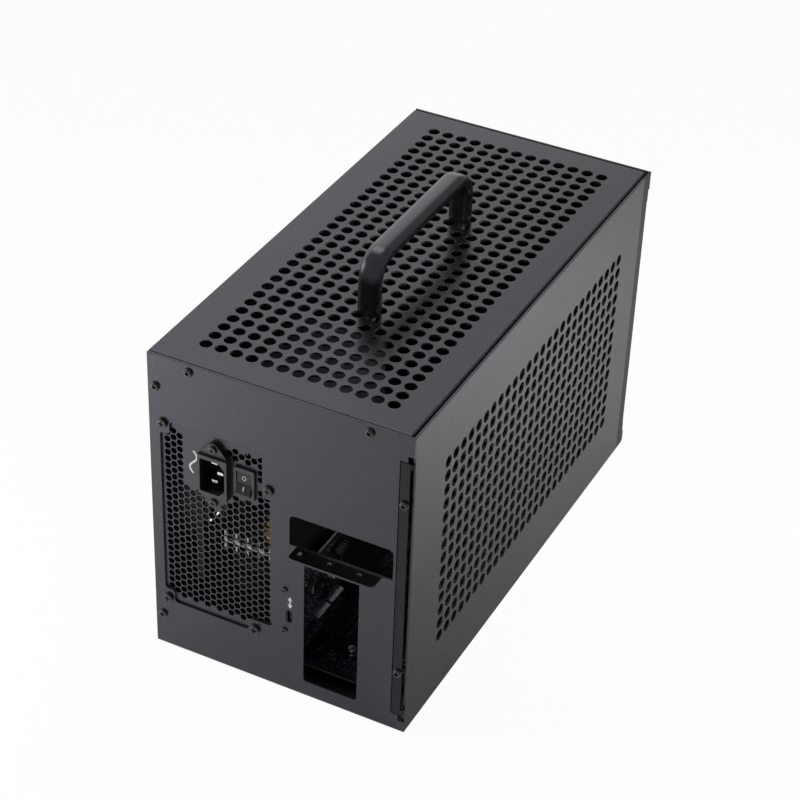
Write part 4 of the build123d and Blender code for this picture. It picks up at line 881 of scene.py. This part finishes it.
tongue_low, tongue_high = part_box("data_port_tongue")
finger_count = 12
finger_pitch, finger_width = 0.5 * mm, 0.26 * mm
finger_length, finger_lift = 4.6 * mm, 0.04 * mm
finger_start = 0.5 * mm
fingers = bmesh.new()
for i in range(finger_count):
    z = (tongue_low.z + tongue_high.z) / 2 + (i - (finger_count - 1) / 2) * finger_pitch
    for face_x, way in ((tongue_low.x, -1), (tongue_high.x, 1)):
        foot = Vector((face_x, tongue_low.y + finger_start + finger_length / 2, z))
        width, height = Vector((0, finger_length, 0)), Vector((0, 0, finger_width))
        slab(fingers, foot, width, height, Vector((way * finger_lift, 0, 0)))
piece("tongue_contacts", fingers, gold, "case")


# Screws: dome-head socket screws round the covers, pan-head cross screws on the power supply,
# the inlet, the fan, the board and the port, and two more up into the handle's legs.
# Steel with a glossy black plating, so that the heads show dark with a bright rim.
screw_finish = Finish("black_plating", Specular_IOR_Level=1.0)
screw_per_metre, screw_detail = 600.0, 3.0
screw_gloss, screw_drift_gloss = 0.16, 0.12
screw_relief, screw_strength = 0.02 * mm, 0.3
screw_drift = screw_finish.noise(screw_per_metre, screw_detail)
screw_finish.feed("Base Color", screw_finish.blend(screw_drift, *black_shades))
screw_finish.feed("Roughness", screw_gloss + screw_drift * screw_drift_gloss)
screw_finish.bump(screw_drift, screw_relief, screw_strength)
outer_screws = ("cover_screws", "handle_screws", "psu_screws", "port_screws")
dress(screw_finish.material, *outer_screws, "inlet_screws", "fan_screws", "board_screws")


# Carrying handle: one flat-oval bar bent down at both ends and screwed on from under the lid.
# Aluminium with a smooth satin black coat, glossier than the sheet round it.
# Its two legs stand on the webs between the vents.
handle_low, handle_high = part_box("handle")
handle_width = handle_high.x - handle_low.x
handle_thickness = 9.5 * mm
handle_bend = 15.0 * mm
handle_roundness = 3.1
handle_ring = 64
handle_bend_steps = 24
handle_x = (handle_low.x + handle_high.x) / 2
leg_near = handle_low.y + handle_thickness / 2
leg_far = handle_high.y - handle_thickness / 2
bar_z = handle_high.z - handle_thickness / 2

handle_path = [(leg_near, handle_low.z, 0.0)]
for step in range(handle_bend_steps + 1):
    turn = math.pi / 2 * step / handle_bend_steps
    y = leg_near + handle_bend * (1 - math.cos(turn))
    handle_path.append((y, bar_z - handle_bend * (1 - math.sin(turn)), turn))
for step in range(handle_bend_steps + 1):
    turn = math.pi / 2 * step / handle_bend_steps
    y = leg_far - handle_bend * (1 - math.sin(turn))
    handle_path.append((y, bar_z - handle_bend * (1 - math.cos(turn)), math.pi / 2 + turn))
handle_path.append((leg_far, handle_low.z, math.pi))

handle_rings = []
for y, z, turn in handle_path:
    outward = Vector((0, -math.cos(turn), math.sin(turn))) * (handle_thickness / 2)
    sideways = Vector((handle_width / 2, 0, 0))
    centre = Vector((handle_x, y, z))
    outline = oval(handle_ring, handle_roundness)
    handle_rings.append([centre + sideways * a + outward * b for a, b in outline])
handle_mesh = bmesh.new()
loft(handle_mesh, handle_rings)

handle_lacquer = {"Coat_Weight": 0.3, "Coat_Roughness": 0.25}
handle_finish = Finish(
    "handle_coat", Specular_IOR_Level=1.0, Specular_Tint=(0.86, 0.84, 1.0, 1.0), **handle_lacquer
)
handle_shades = ((0.0030, 0.0030, 0.0034), (0.0055, 0.0054, 0.0060))
handle_gloss, handle_drift_gloss = 0.20, 0.08
handle_drift_per_metre, handle_grain_per_metre = 40.0, 1800.0
handle_relief, handle_strength = 0.02 * mm, 0.4
handle_drift = handle_finish.noise(handle_drift_per_metre)
handle_finish.feed("Base Color", handle_finish.blend(handle_drift, *handle_shades))
handle_finish.feed("Roughness", handle_gloss + handle_drift * handle_drift_gloss)
handle_finish.bump(handle_finish.noise(handle_grain_per_metre), handle_relief, handle_strength)
handle = piece("handle_bar", handle_mesh, handle_finish.material, "case")
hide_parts("handle")


# Stage: a white floor and a white surround, which the camera sees as plain white but for a faint
# shadow. Glossy coats mirror a surround that is brightest behind and to the left, as under one large
# soft light; four small soft lamps and a dim surround light the rest.
stage_half = 4.0
floor_mesh = bpy.data.meshes.new("floor")
floor_corners = [(sx * stage_half, sy * stage_half, 0) for sx, sy in ((-1, -1), (1, -1), (1, 1), (-1, 1))]
floor_mesh.from_pydata(floor_corners, [], [(0, 1, 2, 3)])
floor = bpy.data.objects.new("floor", floor_mesh)
bpy.context.scene.collection.objects.link(floor)

seen_share = 0.97
mirrored_share = 0.02
floor_white = Finish("floor_white", Base_Color=(0.82, 0.82, 0.82, 1.0), Roughness=0.9)
seen = floor_white.start.node("ShaderNodeLightPath", {}, {}, "Is Camera Ray")
mirrored = floor_white.start.node("ShaderNodeLightPath", {}, {}, "Is Glossy Ray")
glow = floor_white.start.node("ShaderNodeEmission", {}, {"Color": (1, 1, 1, 1), "Strength": 1.0})
floor_white.cover(seen * seen_share + mirrored * mirrored_share, glow)
floor_mesh.materials.append(floor_white.material)

surround_light = 0.05
sky_lean, sky_slope, sky_base = 0.5, 3.4, -1.66
sky_low, sky_high = 0.25, 1.0
world = bpy.data.worlds.new("white_surround")
bpy.context.scene.world = world
world.use_nodes = True
sky = Shade(world.node_tree)
straight = sky.node("ShaderNodeLightPath", {}, {}, "Is Camera Ray")
bounced = sky.node("ShaderNodeLightPath", {}, {}, "Is Glossy Ray")
way = sky.node("ShaderNodeTexCoord", {}, {}, "Generated")
way_x = sky.node("ShaderNodeSeparateXYZ", {}, {0: way}, "X")
way_y = sky.node("ShaderNodeSeparateXYZ", {}, {0: way}, "Y")
behind_left = (way_y * sky_lean - way_x) * sky_slope + sky_base
mirrored_sky = sky.math("MINIMUM", sky.math("MAXIMUM", behind_left, sky_low), sky_high)
strength = surround_light + (straight + bounced * mirrored_sky) * (1 - surround_light)
backdrop = sky.node("ShaderNodeBackground", {}, {"Color": (1, 1, 1, 1), "Strength": strength})
world.node_tree.links.new(backdrop.socket, world.node_tree.nodes["World Output"].inputs["Surface"])


def softbox(name, place, aim, side, watts, mirrored=True):
    """A square soft lamp; one that isn't mirrored leaves no bright spot in the glossy coats."""
    lamp = bpy.data.lights.new(name, "AREA")
    lamp.shape = "RECTANGLE"
    lamp.size = side
    lamp.size_y = side
    lamp.energy = watts
    made = bpy.data.objects.new(name, lamp)
    made.location = place
    made.visible_glossy = mirrored
    made.rotation_mode = "QUATERNION"
    made.rotation_quaternion = (Vector(aim) - Vector(place)).to_track_quat("-Z", "Y")
    bpy.context.scene.collection.objects.link(made)


softbox("left_box", (-0.62, -0.45, 0.42), (-0.24, -0.40, 0.0), side=0.3, watts=6.7, mirrored=False)
softbox("rim_box", (-0.90, -0.55, 0.60), (0.0, -0.15, 0.15), side=0.5, watts=1.8)
softbox("right_box", (0.50, 0.27, 0.40), (0.50, 0.27, 0.0), side=0.3, watts=3.4, mirrored=False)
softbox("overhead_box", (-0.45, 0.38, 1.35), (0.0, 0.0, 0.12), side=0.5, watts=1.3)


# Camera: a long lens above and to the right of the rear wall, rolled very slightly.
# Its focal length is in pixels of a square picture, and its place is given from the case's floor.
picture_size = 800
focal_pixels = 2259.9
azimuth = math.radians(25.89)
elevation = math.radians(35.21)
roll = math.radians(2.25)
case_origin = Vector((0.0, 0.005, 0.004))
offset_right, offset_up, distance = 0.00307, -0.09362, 1.57812

back = Vector(
    (math.sin(azimuth) * math.cos(elevation), -math.cos(azimuth) * math.cos(elevation), math.sin(elevation))
)
level_right = Vector((math.cos(azimuth), math.sin(azimuth), 0))
level_up = back.cross(level_right)
right = level_right * math.cos(roll) + level_up * math.sin(roll)
up = level_up * math.cos(roll) - level_right * math.sin(roll)

lens = bpy.data.cameras.new("camera")
lens.sensor_width = 36.0
lens.lens = focal_pixels * lens.sensor_width / picture_size
camera = bpy.data.objects.new("camera", lens)
bpy.context.scene.collection.objects.link(camera)
camera.rotation_mode = "QUATERNION"
camera.rotation_quaternion = Matrix((right, up, back)).transposed().to_quaternion()
camera.location = case_origin + back * distance - right * offset_right - up * offset_up
bpy.context.scene.camera = camera
bpy.context.scene.view_settings.view_transform = "Standard"
